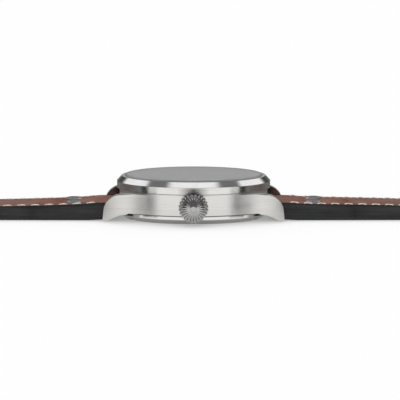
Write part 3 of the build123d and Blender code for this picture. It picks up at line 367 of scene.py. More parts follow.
def finished(obj, materials, body, replaces=(), sharp=30, flats=False):
    """Shades a piece, gives it its materials and body, and hides the nodes it stands in for."""
    mesh = obj.data
    zones = [polygon.material_index for polygon in mesh.polygons]
    mesh.materials.clear()
    for each in materials if isinstance(materials, list) else [materials]:
        mesh.materials.append(each)
    for polygon, zone in zip(mesh.polygons, zones):
        polygon.material_index = min(zone, len(mesh.materials) - 1)
    mesh.shade_smooth()
    mesh.set_sharp_from_angle(angle=radians(sharp))
    if flats:
        modifier = obj.modifiers.new("flats", "WEIGHTED_NORMAL")
        modifier.keep_sharp = True
        modifier.weight = 100
    if replaces:
        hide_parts(*replaces)
    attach(obj, body)


def made(name, points, faces, zones=None):
    """A mesh object from points in millimetres, its faces turned outwards."""
    mesh = bpy.data.meshes.new(name)
    mesh.from_pydata([[value * mm for value in point] for point in points], [], faces)
    if zones:
        for polygon, zone in zip(mesh.polygons, zones):
            polygon.material_index = zone
    mesh.validate()
    obj = placed(name, mesh)
    bm = opened(obj)
    bmesh.ops.recalc_face_normals(bm, faces=bm.faces)
    if bm.calc_volume(signed=True) < 0:
        bmesh.ops.reverse_faces(bm, faces=bm.faces)
    closed(bm, mesh)
    return obj


def evaluated(obj):
    """A new mesh of what an object's modifiers or its text give."""
    return bpy.data.meshes.new_from_object(obj.evaluated_get(bpy.context.evaluated_depsgraph_get()))


def applied(obj, modifier_kind, **settings):
    """Adds a modifier and makes its result the mesh."""
    modifier = obj.modifiers.new(modifier_kind.lower(), modifier_kind)
    for key, value in settings.items():
        setattr(modifier, key, value)
    result = evaluated(obj)
    obj.modifiers.clear()
    obj.data = result


def cut_by(obj, tool, operation, **settings):
    """Joins, crosses or cuts one mesh with another, and deletes the tool."""
    applied(obj, "BOOLEAN", object=tool, operation=operation, solver="EXACT", **settings)
    bpy.data.objects.remove(tool)


def arc(centre, radius, start, end, steps):
    """Points on an arc, both ends among them."""
    angles = [start + (end - start) * step / steps for step in range(steps + 1)]
    return [(centre[0] + radius * cos(angle), centre[1] + radius * sin(angle)) for angle in angles]


def circle(radius, steps, centre=(0, 0)):
    return arc(centre, radius, 0, 2 * pi, steps)[:-1]


def band(low, high, count):
    """The faces between two rings of points, from each ring's first point."""
    return [(low + index, low + (index + 1) % count, high + (index + 1) % count, high + index)
            for index in range(count)]


def capped(rings):
    """The points and faces of a closed skin through rings of as many points each."""
    count = len(rings[0])
    points = [point for ring in rings for point in ring]
    last = len(points) - count
    faces = [tuple(range(count)), tuple(range(last, len(points)))]
    for low in range(0, last, count):
        faces += band(low, low + count, count)
    return points, faces


def prism(name, outline, low, high, across="Z"):
    """A closed outline drawn out between two levels, upright or along Y."""
    if across == "Z":
        rings = [[(x, y, level) for x, y in outline] for level in (low, high)]
    else:
        rings = [[(x, level, z) for x, z in outline] for level in (low, high)]
    return made(name, *capped(rings))


def revolved(name, profile, steps, centre=(0, 0), zones=None):
    """A closed profile of radius and height turned about an upright axis."""
    count = len(profile)
    points, faces = [], []
    for step in range(steps):
        angle = 2 * pi * step / steps
        points += [(centre[0] + radius * cos(angle), centre[1] + radius * sin(angle), height)
                   for radius, height in profile]
        this, following = step * count, (step + 1) % steps * count
        faces += [(this + index, following + index, following + (index + 1) % count, this + (index + 1) % count)
                  for index in range(count)]
    obj = made(name, points, faces, (zones or [0] * count) * steps)
    bm = opened(obj)
    bmesh.ops.remove_doubles(bm, verts=bm.verts, dist=merge_distance * mm)
    bmesh.ops.delete(bm, geom=[edge for edge in bm.edges if not edge.link_faces], context="EDGES")
    bmesh.ops.recalc_face_normals(bm, faces=bm.faces)
    closed(bm, obj.data)
    return obj


def rounded(profile, corners, steps=corner_steps):
    """A profile with an arc at each corner whose radius isn't 0."""
    result = []
    for index, (point, radius) in enumerate(zip(profile, corners)):
        if radius == 0:
            result.append(point)
            continue
        here = Vector(point)
        back = (Vector(profile[index - 1]) - here).normalized()
        ahead = (Vector(profile[(index + 1) % len(profile)]) - here).normalized()
        half = back.angle(ahead) / 2
        length = radius * cos(half) / sin(half)
        centre = here + (back + ahead).normalized() * (radius / sin(half))
        first, last = here + back * length - centre, here + ahead * length - centre
        for step in range(steps + 1):
            part = step / steps
            result.append(tuple(centre + (first * (1 - part) + last * part).normalized() * radius))
    return result


# Node materials
class Graph:
    """A node tree, with short ways to add nodes and feed their sockets."""

    interpolation = "LINEAR"

    def __init__(self, tree):
        self.tree = tree

    def link(self, source, target):
        self.tree.links.new(source, target)

    def node(self, kind, inputs=None, **settings):
        """A new node, with its settings, and a link or a value for each named input."""
        node = self.tree.nodes.new("ShaderNode" + kind)
        for key, value in settings.items():
            setattr(node, key, value)
        for key, value in (inputs or {}).items():
            if isinstance(value, bpy.types.NodeSocket):
                self.link(value, node.inputs[key])
            else:
                node.inputs[key].default_value = value
        return node

    def maths(self, operation, *values):
        return self.node("Math", dict(enumerate(values)), operation=operation).outputs[0]

    def ranged(self, source, low, high, start=0.0, end=1.0):
        """A value mapped from one range to another."""
        inputs = {"Value": source, "From Min": low, "From Max": high, "To Min": start, "To Max": end}
        return self.node("MapRange", inputs, interpolation_type=self.interpolation).outputs["Result"]

    def split(self, source):
        return self.node("SeparateXYZ", {0: source}).outputs


class Finish(Graph):
    """A Principled material."""

    def __init__(self, name, colour, roughness, metallic=0.0, **fixed):
        self.material = bpy.data.materials.new(name)
        self.material.use_nodes = True
        super().__init__(self.material.node_tree)
        self.shader = self.tree.nodes["Principled BSDF"]
        self.shader.inputs["Base Color"].default_value = (*colour, 1)
        self.shader.inputs["Roughness"].default_value = roughness
        self.shader.inputs["Metallic"].default_value = metallic
        for key, value in fixed.items():
            self.shader.inputs[key.replace("_", " ")].default_value = value
        self.place = self.node("TexCoord").outputs["Object"]

    def stretched(self, x, y, z):
        """The object's coordinates, multiplied along each axis."""
        return self.node("VectorMath", {0: self.place, 1: (x, y, z)}, operation="MULTIPLY").outputs[0]

    def noise(self, scale, detail=3.0, roughness=0.55, where=None, distortion=0.0):
        inputs = {"Scale": scale, "Detail": detail, "Roughness": roughness, "Distortion": distortion,
                  "Vector": where or self.place}
        return self.node("TexNoise", inputs).outputs["Fac"]

    def cells(self, scale):
        return self.node("TexVoronoi", {"Scale": scale, "Vector": self.place}).outputs["Distance"]

    def mixed(self, factor, first, second):
        """Two colours, or a socket and a colour, mixed."""
        node = self.node("Mix", data_type="RGBA")
        self.link(factor, node.inputs["Factor"])
        for name, value in (("A", first), ("B", second)):
            socket = [each for each in node.inputs if each.name == name and each.type == "RGBA"][0]
            if isinstance(value, tuple):
                socket.default_value = (*value, 1)
            else:
                self.link(value, socket)
        return [each for each in node.outputs if each.type == "RGBA"][0]

    def tinted(self, source, first, second, low=0.3, high=0.7):
        """Colours the surface between two shades, by a value."""
        self.link(self.mixed(self.ranged(source, low, high), first, second), self.shader.inputs["Base Color"])

    def roughened(self, source, least, most, low=0.3, high=0.7):
        self.link(self.ranged(source, low, high, least, most), self.shader.inputs["Roughness"])

    def bumped(self, strength, depth, *heights):
        """Bumps the surface by one or more height sockets."""
        inputs = {"Strength": strength, "Distance": depth * mm}
        for height in heights:
            inputs["Height"] = height
            inputs["Normal"] = self.node("Bump", inputs).outputs["Normal"]
        self.link(inputs["Normal"], self.shader.inputs["Normal"])

    def blended(self, factor, other):
        """Mixes another shader with this one."""
        mix = self.node("MixShader", {0: factor, 1: self.shader.outputs[0], 2: other.outputs[0]})
        self.link(mix.outputs[0], self.tree.nodes["Material Output"].inputs["Surface"])


def brushed_steel(name, least, most, pull):
    """Satin steel, brushed level all round the case."""
    finish = Finish(name, (0.8, 0.79, 0.76), 0.2, 1.0, Anisotropic=pull, Anisotropic_Rotation=0.25)
    tangent = finish.node("Tangent", direction_type="RADIAL", axis="Z")
    finish.link(tangent.outputs[0], finish.shader.inputs["Tangent"])
    lines = finish.noise(1.0, 4.0, 0.6, finish.stretched(22, 22, 9000))
    finish.tinted(lines, (0.72, 0.71, 0.68), (0.83, 0.82, 0.79))
    finish.roughened(finish.noise(1.0, 2.0, 0.5, finish.stretched(15, 15, 1500)), least, most)
    finish.bumped(0.35, 0.012, lines)
    return finish.material


def polished_steel(name, shade):
    """Mirror steel with a trace of hairlines."""
    finish = Finish(name, (shade, shade, shade), 0.08, 1.0)
    finish.roughened(finish.noise(1400, 3.0), 0.06, 0.14, 0.35)
    finish.tinted(finish.noise(160, 2.0), (shade * 0.97, shade * 0.965, shade * 0.955),
                  (shade * 1.03, shade * 1.02, shade), 0.35, 0.65)
    return finish.material


def turned_steel():
    """Steel with fine turning rings about the case axis."""
    finish = Finish("turned_steel", (0.8, 0.79, 0.77), 0.16, 1.0)
    x, y, z = finish.split(finish.place)
    squares = finish.maths("ADD", finish.maths("MULTIPLY", x, x), finish.maths("MULTIPLY", y, y))
    combined = finish.node("CombineXYZ", {0: finish.maths("SQRT", squares), 2: z})
    rings = finish.noise(7000, 2.0, 0.5, combined.outputs[0])
    finish.bumped(0.3, 0.012, rings)
    finish.roughened(rings, 0.12, 0.2)
    return finish.material


def glass(name, tint):
    """Sapphire that lets the lamps through."""
    finish = Finish(name, tint, 0.015, 0.0, IOR=1.6, Transmission_Weight=1.0)
    finish.roughened(finish.noise(90, 2.0), 0.01, 0.03, 0.4)
    finish.blended(finish.node("LightPath").outputs["Is Shadow Ray"], finish.node("BsdfTransparent"))
    return finish.material


def matt(name, colour, other, roughness, grain, strength=0.2, metallic=0.0):
    """A fine-grained surface whose colour drifts between two shades."""
    finish = Finish(name, colour, roughness, metallic)
    finish.tinted(finish.noise(grain / 8, 3.0), colour, other)
    fine = finish.noise(grain, 3.0)
    finish.roughened(fine, roughness * 0.85, min(roughness * 1.15, 1))
    finish.bumped(strength, 0.02, fine)
    return finish.material


def striped_nickel():
    """Plated bridges with broad straight stripes."""
    finish = Finish("striped_nickel", (0.7, 0.68, 0.64), 0.25, 1.0)
    wave = finish.node("TexWave", {"Scale": 38, "Vector": finish.stretched(1, 1, 0)}, bands_direction="DIAGONAL")
    stripes = wave.outputs["Fac"]
    finish.tinted(stripes, (0.6, 0.58, 0.545), (0.76, 0.74, 0.7), 0.0, 1.0)
    finish.roughened(stripes, 0.18, 0.34, 0.0, 1.0)
    finish.bumped(0.3, 0.03, stripes, finish.noise(1.0, 3.0, 0.6, finish.stretched(5000, 400, 400)))
    return finish.material


def spotted_nickel():
    """The plate's overlapping round graining."""
    finish = Finish("spotted_nickel", (0.62, 0.6, 0.57), 0.3, 1.0)
    spots = finish.cells(950)
    finish.tinted(spots, (0.52, 0.5, 0.47), (0.7, 0.68, 0.65), 0.0, 0.7)
    finish.roughened(spots, 0.2, 0.4, 0.0, 0.7)
    finish.bumped(0.4, 0.02, spots)
    return finish.material


def brass():
    """Gilt wheels with a grained face."""
    finish = Finish("gilt_brass", (0.72, 0.52, 0.22), 0.25, 1.0)
    grain = finish.noise(6000, 2.0)
    finish.tinted(finish.noise(300, 2.0), (0.66, 0.47, 0.19), (0.78, 0.58, 0.27))
    finish.roughened(grain, 0.18, 0.32)
    finish.bumped(0.15, 0.01, grain)
    return finish.material


def leather():
    """Oiled brown calf, darker where it creases and paler where it is rubbed."""
    finish = Finish("brown_leather", (0.19, 0.075, 0.047), 0.5, 0.0, Specular_IOR_Level=0.22)
    clouds = finish.noise(90, 4.0, 0.6)
    streaks = finish.noise(1.0, 4.0, 0.6, finish.stretched(160, 900, 400))
    pores = finish.cells(1900)
    wrinkles = finish.noise(1.0, 5.0, 0.65, finish.stretched(500, 1300, 900), 0.6)
    deep = finish.mixed(finish.ranged(clouds, 0.35, 0.65), (0.135, 0.047, 0.03), (0.265, 0.12, 0.086))
    rubbed = finish.mixed(finish.ranged(streaks, 0.55, 0.8, 0.0, 0.45), deep, (0.3, 0.155, 0.12))
    pored = finish.mixed(finish.ranged(pores, 0.0, 0.25, 0.35, 0.0), rubbed, (0.07, 0.02, 0.012))
    finish.link(pored, finish.shader.inputs["Base Color"])
    finish.roughened(clouds, 0.42, 0.6)
    finish.bumped(0.35, 0.09, finish.ranged(pores, 0.0, 0.4), wrinkles)
    return finish.material


def edge_paint():
    """The black lacquer on the strap's edges, with the layers showing faintly."""
    finish = Finish("edge_paint", (0.02, 0.021, 0.023), 0.45, 0.0, Specular_IOR_Level=0.35)
    level = finish.noise(1.0, 3.0, 0.6, finish.stretched(70, 70, 1100))
    finish.tinted(level, (0.012, 0.0125, 0.014), (0.03, 0.0305, 0.032), 0.35)
    finish.roughened(finish.noise(220, 2.0), 0.36, 0.52)
    finish.bumped(0.3, 0.05, level)
    return finish.material


def lining_leather():
    """The smooth dark lining."""
    finish = Finish("lining_leather", (0.06, 0.045, 0.038), 0.62)
    finish.tinted(finish.noise(120, 3.0), (0.045, 0.034, 0.028), (0.085, 0.066, 0.055))
    finish.bumped(0.3, 0.04, finish.noise(1500, 4.0))
    return finish.material


def thread():
    """Waxed cream thread."""
    finish = Finish("cream_thread", (0.86, 0.76, 0.66), 0.6, 0.0, Sheen_Weight=0.2)
    finish.tinted(finish.noise(140, 2.0), (0.8, 0.7, 0.6), (0.9, 0.83, 0.75))
    finish.bumped(0.3, 0.03, finish.noise(1.0, 3.0, 0.6, finish.stretched(2500, 9000, 9000)))
    return finish.material


brushed = brushed_steel("brushed_steel", 0.3, 0.38, 0.5)
wall_brushed = brushed_steel("brushed_wall", 0.2, 0.27, 0.7)
polished = polished_steel("polished_steel", 0.8)
# Darker polished steel for the crown: painted shade for its dark reflections
shaded_crown_steel = polished_steel("shaded_crown_steel", 0.46)
# Darker polished steel: painted shade for the faces in the lug gaps and under the case's foot
shaded_gap_steel = polished_steel("shaded_gap_steel", 0.24)
# Darker polished steel: painted shade for the case back's cone, which faces the shadow under the watch
shaded_cone_steel = polished_steel("shaded_cone_steel", 0.42)
turned = turned_steel()
crystal_glass = glass("sapphire", (0.97, 0.98, 0.99))
ground_edge = matt("ground_edge", (0.23, 0.23, 0.235), (0.27, 0.27, 0.275), 0.35, 3000)
rubber = matt("grey_rubber", (0.3, 0.3, 0.31), (0.35, 0.35, 0.36), 0.6, 3000)
dial_paint = matt("dial_black", (0.012, 0.012, 0.013), (0.018, 0.018, 0.02), 0.62, 5000, 0.3)
dial_print = matt("dial_print", (0.78, 0.79, 0.75), (0.72, 0.73, 0.69), 0.55, 5000)
lume = matt("lume", (0.76, 0.78, 0.7), (0.69, 0.71, 0.63), 0.75, 4000, 0.4)
hand_steel = matt("hand_steel", (0.7, 0.7, 0.69), (0.62, 0.62, 0.61), 0.25, 4000, 0.1, 1.0)
blued = matt("blued_steel", (0.03, 0.06, 0.3), (0.045, 0.1, 0.4), 0.18, 2000, 0.1, 1.0)
rivet_steel = matt("rivet_steel", (0.78, 0.79, 0.8), (0.7, 0.71, 0.72), 0.3, 4000, 0.1, 1.0)
ruby = matt("ruby", (0.45, 0.01, 0.06), (0.55, 0.02, 0.09), 0.1, 3000, 0.05)
striped = striped_nickel()
spotted = spotted_nickel()
gilt = brass()
cream = thread()
strap_skin = [leather(), edge_paint(), lining_leather()]


# Case
def bearing(point, centre=(0, 0)):
    """The direction of a point from a centre."""
    return atan2(point[1] - centre[1], point[0] - centre[0])


def oblong(start, end, half):
    """An oblong's corners, as wide on both sides of the x axis."""
    return [(start, -half), (end, -half), (end, half), (start, half)]


def blend_places():
    """The blend between the round case and a lug's flank: its centre, and its ends on the rim and the flank."""
    slope = radians(lug_flare)
    outwards = Vector((sin(slope), cos(slope)))
    along = Vector((cos(slope), -sin(slope)))
    whole = case_radius + lug_blend_radius
    level = outwards.dot(Vector((lug_tip, lug_tip_side))) + lug_blend_radius
    centre = outwards * level + along * sqrt(whole ** 2 - level ** 2)
    return centre, centre * case_radius / whole, centre - outwards * lug_blend_radius


def rim_angles():
    """The directions of the round case's points, with the blends' ends among them."""
    quarter = bearing(blend_places()[1])
    ends = [quarter, pi - quarter, pi + quarter, 2 * pi - quarter]
    pitch = 2 * pi / turn_steps
    even = [pitch * step for step in range(turn_steps)]
    return sorted(ends + [angle for angle in even if min(abs(angle - end) for end in ends) > rim_least_pitch * pitch])


def drum_piece():
    """The round case as a solid drum, with the chamfer at its foot."""
    levels = [(case_radius - case_foot_chamfer, case_foot), (case_radius, case_foot + case_foot_chamfer),
              (case_radius, bezel_foot)]
    angles = rim_angles()
    rings = [[(radius * cos(angle), radius * sin(angle), height) for angle in angles] for radius, height in levels]
    return made("case_body", *capped(rings))


def lug_plan(side):
    """The two lugs at one end from above, with their blends, reaching into the drum."""
    centre, on_rim, on_flank = blend_places()
    quarter = bearing(on_rim)
    blend = arc(centre, lug_blend_radius, bearing(on_flank, centre), bearing(on_rim, centre), lug_blend_steps)
    half = [(lug_tip, lug_tip_side)] + blend[:-1]
    half += [(radius * cos(quarter), radius * sin(quarter)) for radius in (case_radius, lug_root_share * case_radius)]
    return [(side * x, y) for x, y in half] + [(side * x, -y) for x, y in reversed(half)]


def nose_arc():
    """The lug's nose from the side, bulging up and outwards between its two ends."""
    first, last = Vector(lug_shoulder), Vector(lug_nose)
    chord = last - first
    rise = sqrt(lug_nose_radius ** 2 - (chord.length / 2) ** 2)
    centre = (first + last) / 2 - Vector((-chord.y, chord.x)).normalized() * rise
    return arc(centre, lug_nose_radius, bearing(first, centre), bearing(last, centre), lug_nose_steps)


def lug_side():
    """The lugs from the side, at both ends."""
    run, drop = lug_arch_end[0] - lug_arch_start, case_foot - lug_arch_end[1]
    radius = (run ** 2 + drop ** 2) / (2 * drop)
    arch = arc((lug_arch_start, case_foot - radius), radius, pi / 2 - asin(run / radius), pi / 2, lug_arch_steps)
    step = (lug_arch_start - lug_step_run, case_foot + case_foot_chamfer + lug_step_margin)
    right = [(lug_shoulder_start, lug_top)] + nose_arc() + [(lug_tip, lug_toe_height), lug_toe] + arch + [step]
    return right + [(-x, z) for x, z in reversed(right)]


def case_piece():
    """The case body: a round drum and four lugs, with a polished bevel round each flank."""
    body = drum_piece()
    for side in (-1, 1):
        lugs = prism("lugs", lug_plan(side), cut_floor / 2, bezel_foot)
        cut_by(lugs, prism("side", lug_side(), -2 * case_radius, 2 * case_radius, "Y"), "INTERSECT")
        cut_by(body, lugs, "UNION")
    gap = lug_gap / 2
    over = case_flat + case_flat_overrun
    bore = [(case_bore_radius * cos(angle), case_bore_radius * sin(angle)) for angle in rim_angles()]
    for outline, top in ((bore, 2 * bezel_foot), (oblong(-case_flat, -2 * lug_tip, gap), 2 * bezel_foot),
                         (oblong(case_flat, 2 * lug_tip, gap), 2 * bezel_foot), (oblong(-over, over, gap), case_foot)):
        cut_by(body, prism("cutter", outline, cut_floor, top), "DIFFERENCE")
    tube = circle(tube_radius, tube_steps, (0, case_axis_height))
    cut_by(body, prism("tube_hole", tube, -case_radius - tube_overrun, -case_bore_radius + tube_overrun, "Y"),
           "DIFFERENCE")
    for side in (-1, 1):
        hole = circle(bar_hole_radius, bar_hole_steps, (side * bar_place, bar_height))
        cut_by(body, prism("bar_hole", hole, -gap - bar_hole_depth, gap + bar_hole_depth, "Y"), "DIFFERENCE")
    bevelled_case(body)
    finished(body, [brushed, polished, shaded_gap_steel], "case", ["mid_case"], flats=True)


def bevel_share(edge):
    """What share of the flanks' bevel a case edge gets: none within the case, in its holes and under its drum."""
    ends = [vertex.co / mm for vertex in edge.verts]
    radius = max(hypot(end.x, end.y) for end in ends)
    from_bar = max(hypot(abs(end.x) - bar_place, end.z - bar_height) for end in ends)
    from_tube = max(hypot(end.x, end.z - case_axis_height) for end in ends)
    across = [abs(end.y) for end in ends]
    in_hole = from_bar < bar_hole_radius + near and max(across) < lug_gap / 2 + bar_hole_depth + near
    under_drum = (max(abs(end.x) for end in ends) < lug_arch_start + near / 2
                  and max(end.z for end in ends) < case_foot + case_foot_chamfer + 2 * lug_step_margin)
    if radius < case_radius - inside_margin or in_hole or under_drum or from_tube < tube_radius + near:
        return 0
    level = min(abs(face.normal.z) for face in edge.link_faces)
    on_flank = min(across) > lug_gap / 2 + flank_margin and radius > case_radius + horn_margin
    return 1 if on_flank and level < upright_normal else case_edge_bevel / case_flank_bevel


def bevelled_case(body):
    """Bevels the case's edges, most of all round the lugs' flanks, and paints shade on the faces inside the lug gaps
    and under the drum's foot with a darker steel.
    """
    bm = cleaned(body, merge_distance, case_flat_angle)
    bmesh.ops.recalc_face_normals(bm, faces=bm.faces)
    weights = bm.edges.layers.float.new("bevel_weight_edge")
    for edge in bm.edges:
        if len(edge.link_faces) == 2 and edge.calc_face_angle(0) >= radians(bevel_least_angle):
            edge[weights] = bevel_share(edge)
    closed(bm, body.data)
    applied(body, "BEVEL", limit_method="WEIGHT", width=case_flank_bevel * mm, segments=2, material=1,
            use_clamp_overlap=True)
    # Faces under the foot and inside the lug gaps take the darker steel, painted shade.
    for polygon in body.data.polygons:
        centre, normal = polygon.center, polygon.normal
        under = normal.z < under_normal and case_foot * mm < centre.z < (case_foot + case_foot_chamfer) * mm
        if under or abs(normal.y) > inner_normal and abs(centre.y) < (lug_gap / 2 + near) * mm:
            polygon.material_index = 2


def bezel_piece():
    """The bezel, brushed on its wall and polished on its chamfer and rim."""
    points = rounded([
        (case_bore_radius, bezel_foot), (case_radius - bezel_foot_chamfer[0], bezel_foot),
        (case_radius, bezel_foot + bezel_foot_chamfer[1]), (case_radius, bezel_wall_top),
        (bezel_rim_radius, bezel_roof), (crystal_seat_radius, bezel_roof),
        (crystal_seat_radius, crystal_seat_height), (case_bore_radius, crystal_seat_height),
    ], bezel_corners)
    on_wall = [abs(radius - case_radius) < wall_tolerance for radius, height in points]
    zones = [0 if this and after else 1 for this, after in zip(on_wall, on_wall[1:] + on_wall[:1])]
    obj = revolved("bezel_ring", points, turn_steps, zones=zones)
    finished(obj, [wall_brushed, polished], "case", ["bezel"], flats=True)


def crystal_piece():
    """The flat crystal with its ground edge."""
    profile = [
        (0.0, crystal_seat_height), (crystal_radius, crystal_seat_height),
        (crystal_radius, crystal_roof - crystal_chamfer), (crystal_radius - crystal_chamfer, crystal_roof),
        (0.0, crystal_roof),
    ]
    obj = revolved("crystal_disc", rounded(profile, [0, 0, crystal_corner, crystal_corner, 0]), turn_steps)
    least, most = slanted_normals
    for polygon in obj.data.polygons:
        high = polygon.center.z > (crystal_roof - 2 * crystal_chamfer) * mm
        polygon.material_index = int(high and least < polygon.normal.z < most)
    finished(obj, [crystal_glass, ground_edge], "case", ["crystal"], flats=True)


def gasket_piece():
    """The grey ring round the crystal."""
    profile = [
        (crystal_radius, crystal_seat_height), (crystal_seat_radius, crystal_seat_height),
        (crystal_seat_radius, gasket_roof), (crystal_radius, gasket_roof),
    ]
    obj = revolved("crystal_seal", rounded(profile, [0, 0, crystal_corner, crystal_corner]), turn_steps)
    finished(obj, rubber, "case", ["crystal_gasket"], 40, True)


def crown_ring(place, radius, groove=0.0):
    """The crown's outline at a place on its axis: round ribs with sharp grooves of some depth between them."""
    around = crown_ribs * crown_rib_points
    ring = []
    for step in range(around):
        across = step / crown_rib_points
        offset = 1 - 2 * abs(across - round(across))
        here = radius * (1 - groove * (1 - sqrt(1 - crown_rib_sharpness * offset * offset)))
        angle = 2 * pi * step / around
        ring.append((here * cos(angle), place, case_axis_height + here * sin(angle)))
    return ring


def crown_piece():
    """The onion crown: grooves that fade into a smooth dome, a sunk face, and the bore for its tube."""
    bore_end = crown_start - crown_bore_depth
    face = crown_start - crown_length + crown_face_sink
    rings = [crown_ring(bore_end, crown_centre_radius), crown_ring(bore_end, crown_bore_radius),
             crown_ring(crown_start, crown_bore_radius)]
    for station, crest in crown_profile:
        fade = clamped((crest - crown_rib_fade_end) / (crown_rib_fade_start - crown_rib_fade_end))
        rings.append(crown_ring(crown_start - station * crown_length, crown_radius * crest, crown_rib_depth * fade))
    rings.append(crown_ring(face - crown_face_sink, crown_face_radius))
    rings += [crown_ring(face, radius)
              for radius in (crown_face_radius - crown_face_step, crown_face_ring, crown_centre_radius)]
    # The crown takes the darker steel, painted shade.
    finished(made("onion_crown", *capped(rings)), shaded_crown_steel, "crown", ["crown"], 40)


# Strap
Strap = namedtuple("Strap", "length lift folded")
long_half = Strap(long_half_length, 0.0, False)
buckle_half = Strap(buckle_half_length, keeper_lift, True)


def between(place, places, values):
    """The value at a place on a broken line through a few values."""
    for index in range(len(places) - 1):
        if place <= places[index + 1]:
            part = max((place - places[index]) / (places[index + 1] - places[index]), 0.0)
            return values[index] + part * (values[index + 1] - values[index])
    return values[-1]


def smooth_between(place, values):
    """The padding's value at a place, averaged over a short stretch."""
    places = [share * strap_pad_length for share in pad_shares]
    reach = min(strap_pad_smoothing, place)
    samples = [between(place + reach * shift, places, values) for shift in (-1, -0.5, 0, 0.5, 1)]
    return sum(samples) / len(samples)


def strap_levels(place, strap):
    """The underside, the edge's top and the crest at a place, with the round nose and the buckle's fold."""
    if place < 0:
        half = sqrt(max(strap_nose_radius ** 2 - place ** 2, 0))
        return bar_height - half, bar_height + half, bar_height + half
    if strap.folded and place > strap.length:
        half = sqrt(max(fold_radius ** 2 - (place - strap.length) ** 2, 0))
        middle = keeper_lift + fold_radius
        return middle - half, middle + half, middle + half
    low = (bar_height - strap_nose_radius) * max(1 - place / strap_bottom_settle, 0)
    low += strap.lift * eased((place - keeper_lift_start) / (keeper_lift_end - keeper_lift_start))
    rises = buckle_rise_shares if strap.folded else pad_rise_shares
    crest = low + strap_flat + strap_pad_rise * smooth_between(place, rises)
    return low, crest - strap_edge_drop * smooth_between(place, pad_drop_shares), crest


def strap_half_width(place):
    return (strap_lug_width + clamped(place / strap_taper_length) * (strap_end_width - strap_lug_width)) / 2


def strap_tip(strap):
    """Where the long half's round tip begins, or the buckle half's fold."""
    return strap.length if strap.folded else strap.length - strap_end_width / 2


def top_height(y, half, edge, crest):
    """The top's height across the strap."""
    inside = (half - edge_top_round - abs(y)) / (half - edge_top_round)
    return edge + (crest - edge) * eased(inside / strap_shoulder)


def half_section(half, low, edge, crest, channel):
    """Half of the strap's outline, from the underside's middle round to the crest, with each stretch's zone."""
    height = edge - low
    top_round = min(edge_top_round, edge_round_share * height)
    low_round = min(edge_low_round, edge_round_share * height)
    row = half - stitch_inset
    turns = [pi / 2 * step / edge_round_steps for step in range(edge_round_steps + 1)]
    points, zones = [], []

    def put(y, z, zone):
        points.append((y, z))
        zones.append(zone)

    for share in lining_shares:
        put(row * share, low, 2)
    for shift in channel_shifts[:-1]:
        put(row + shift * channel_width, low + channel * channel_below * exp(-2 * shift * shift), 2)
    for angle in turns:
        put(half - low_round + low_round * sin(angle), low + low_round - low_round * cos(angle), 1 if angle else 2)
    seam = low + min(strap_lining_thickness, 0.5 * height)
    for level in (-edge_seam_half_width, 0.0, edge_seam_half_width):
        z = min(max(seam + level, low + low_round + edge_seam_margin), edge - top_round - edge_seam_margin)
        put(half - (edge_seam_depth if level == 0 and channel else 0.0), z, 1)
    for angle in turns:
        put(half - top_round + top_round * cos(angle), edge - top_round + top_round * sin(angle), 1)
    zones[-1] = 0
    for shift in reversed(channel_shifts):
        y = row + shift * channel_width
        put(y, top_height(y, half, edge, crest) - channel * exp(-2 * shift * shift), 0)
    for share in top_shares:
        put(row * share, top_height(row * share, half, edge, crest), 0)
    return points, zones


def channel_at(place, strap):
    """The depth of the stitching channel, which stops short of both ends."""
    depth = channel_depth * clamped((place - stitch_first + channel_lead) / channel_fade)
    return depth * clamped((strap.length - channel_end - place) / channel_fade) if strap.folded else depth


def strap_places(strap):
    """The places along a strap half where its section is drawn."""
    nose = [-strap_nose_radius * cos(pi / 2 * step / strap_nose_steps) for step in range(strap_nose_steps)]
    nose[0] = -strap_nose_radius * cos(radians(end_angle))
    end = strap_tip(strap)
    steps = round(end / strap_step)
    places = nose + [end * step / steps for step in range(steps + 1)]
    if strap.folded:
        places += [end + fold_radius * sin(pi / 2 * step / fold_steps) for step in range(1, fold_steps)]
        places.append(end + fold_radius * cos(radians(end_angle)))
    return places


def strap_mesh(strap):
    """One strap half at 12 o'clock, as a single closed skin of top leather, painted edge and lining."""
    rings = []
    for place in strap_places(strap):
        section, kinds = half_section(strap_half_width(place), *strap_levels(place, strap), channel_at(place, strap))
        x = bar_place + place
        rings.append([(x, y, z) for y, z in section] + [(x, -y, z) for y, z in reversed(section[1:-1])])
    points, faces = capped(rings)
    zones = [1, 1] + (kinds[:-1] + kinds[-2::-1]) * (len(rings) - 1)
    if not strap.folded:
        del faces[1], zones[1]
        sweep_tip(points, faces, zones, section, kinds, x)
    return points, faces, zones


def sweep_tip(points, faces, zones, section, kinds, centre):
    """Turns the last section about the tip's centre, for the rounded end."""
    count = len(section)
    ring = list(range(len(points) - 2 * count + 2, len(points)))
    previous, left = ring[:count], [ring[0]] + ring[count:][::-1] + [ring[count - 1]]
    for step in range(1, strap_tip_steps + 1):
        angle = pi * step / strap_tip_steps
        current = left
        if step < strap_tip_steps:
            first = len(points)
            points += [(centre + y * sin(angle), y * cos(angle), z) for y, z in section[1:-1]]
            current = [ring[0], *range(first, len(points)), ring[count - 1]]
        for index in range(count - 1):
            corners = [previous[index], previous[index + 1], current[index + 1], current[index]]
            faces.append(tuple(dict.fromkeys(corners)))
            zones.append(kinds[index])
        previous = current


def turned_round(points):
    """The same points for the half at 6 o'clock."""
    return [(-x, -y, z) for x, y, z in points]


def punch(bm, x, radius, depth):
    """Adds a round punch to the tools that cut a strap half."""
    bmesh.ops.create_cone(bm, cap_ends=True, segments=punch_steps, radius1=radius * mm, radius2=radius * mm,
                          depth=depth * mm, matrix=Matrix.Translation((x * mm, 0, 0)))


def punched(obj, bm, **settings):
    """Cuts a strap half with the tools, and paints the cuts like its edges."""
    for face in bm.faces:
        face.material_index = 1
    tool = built("punch", bm)
    for each in strap_skin:
        obj.data.materials.append(each)
        tool.data.materials.append(each)
    cut_by(obj, tool, "DIFFERENCE", **settings)


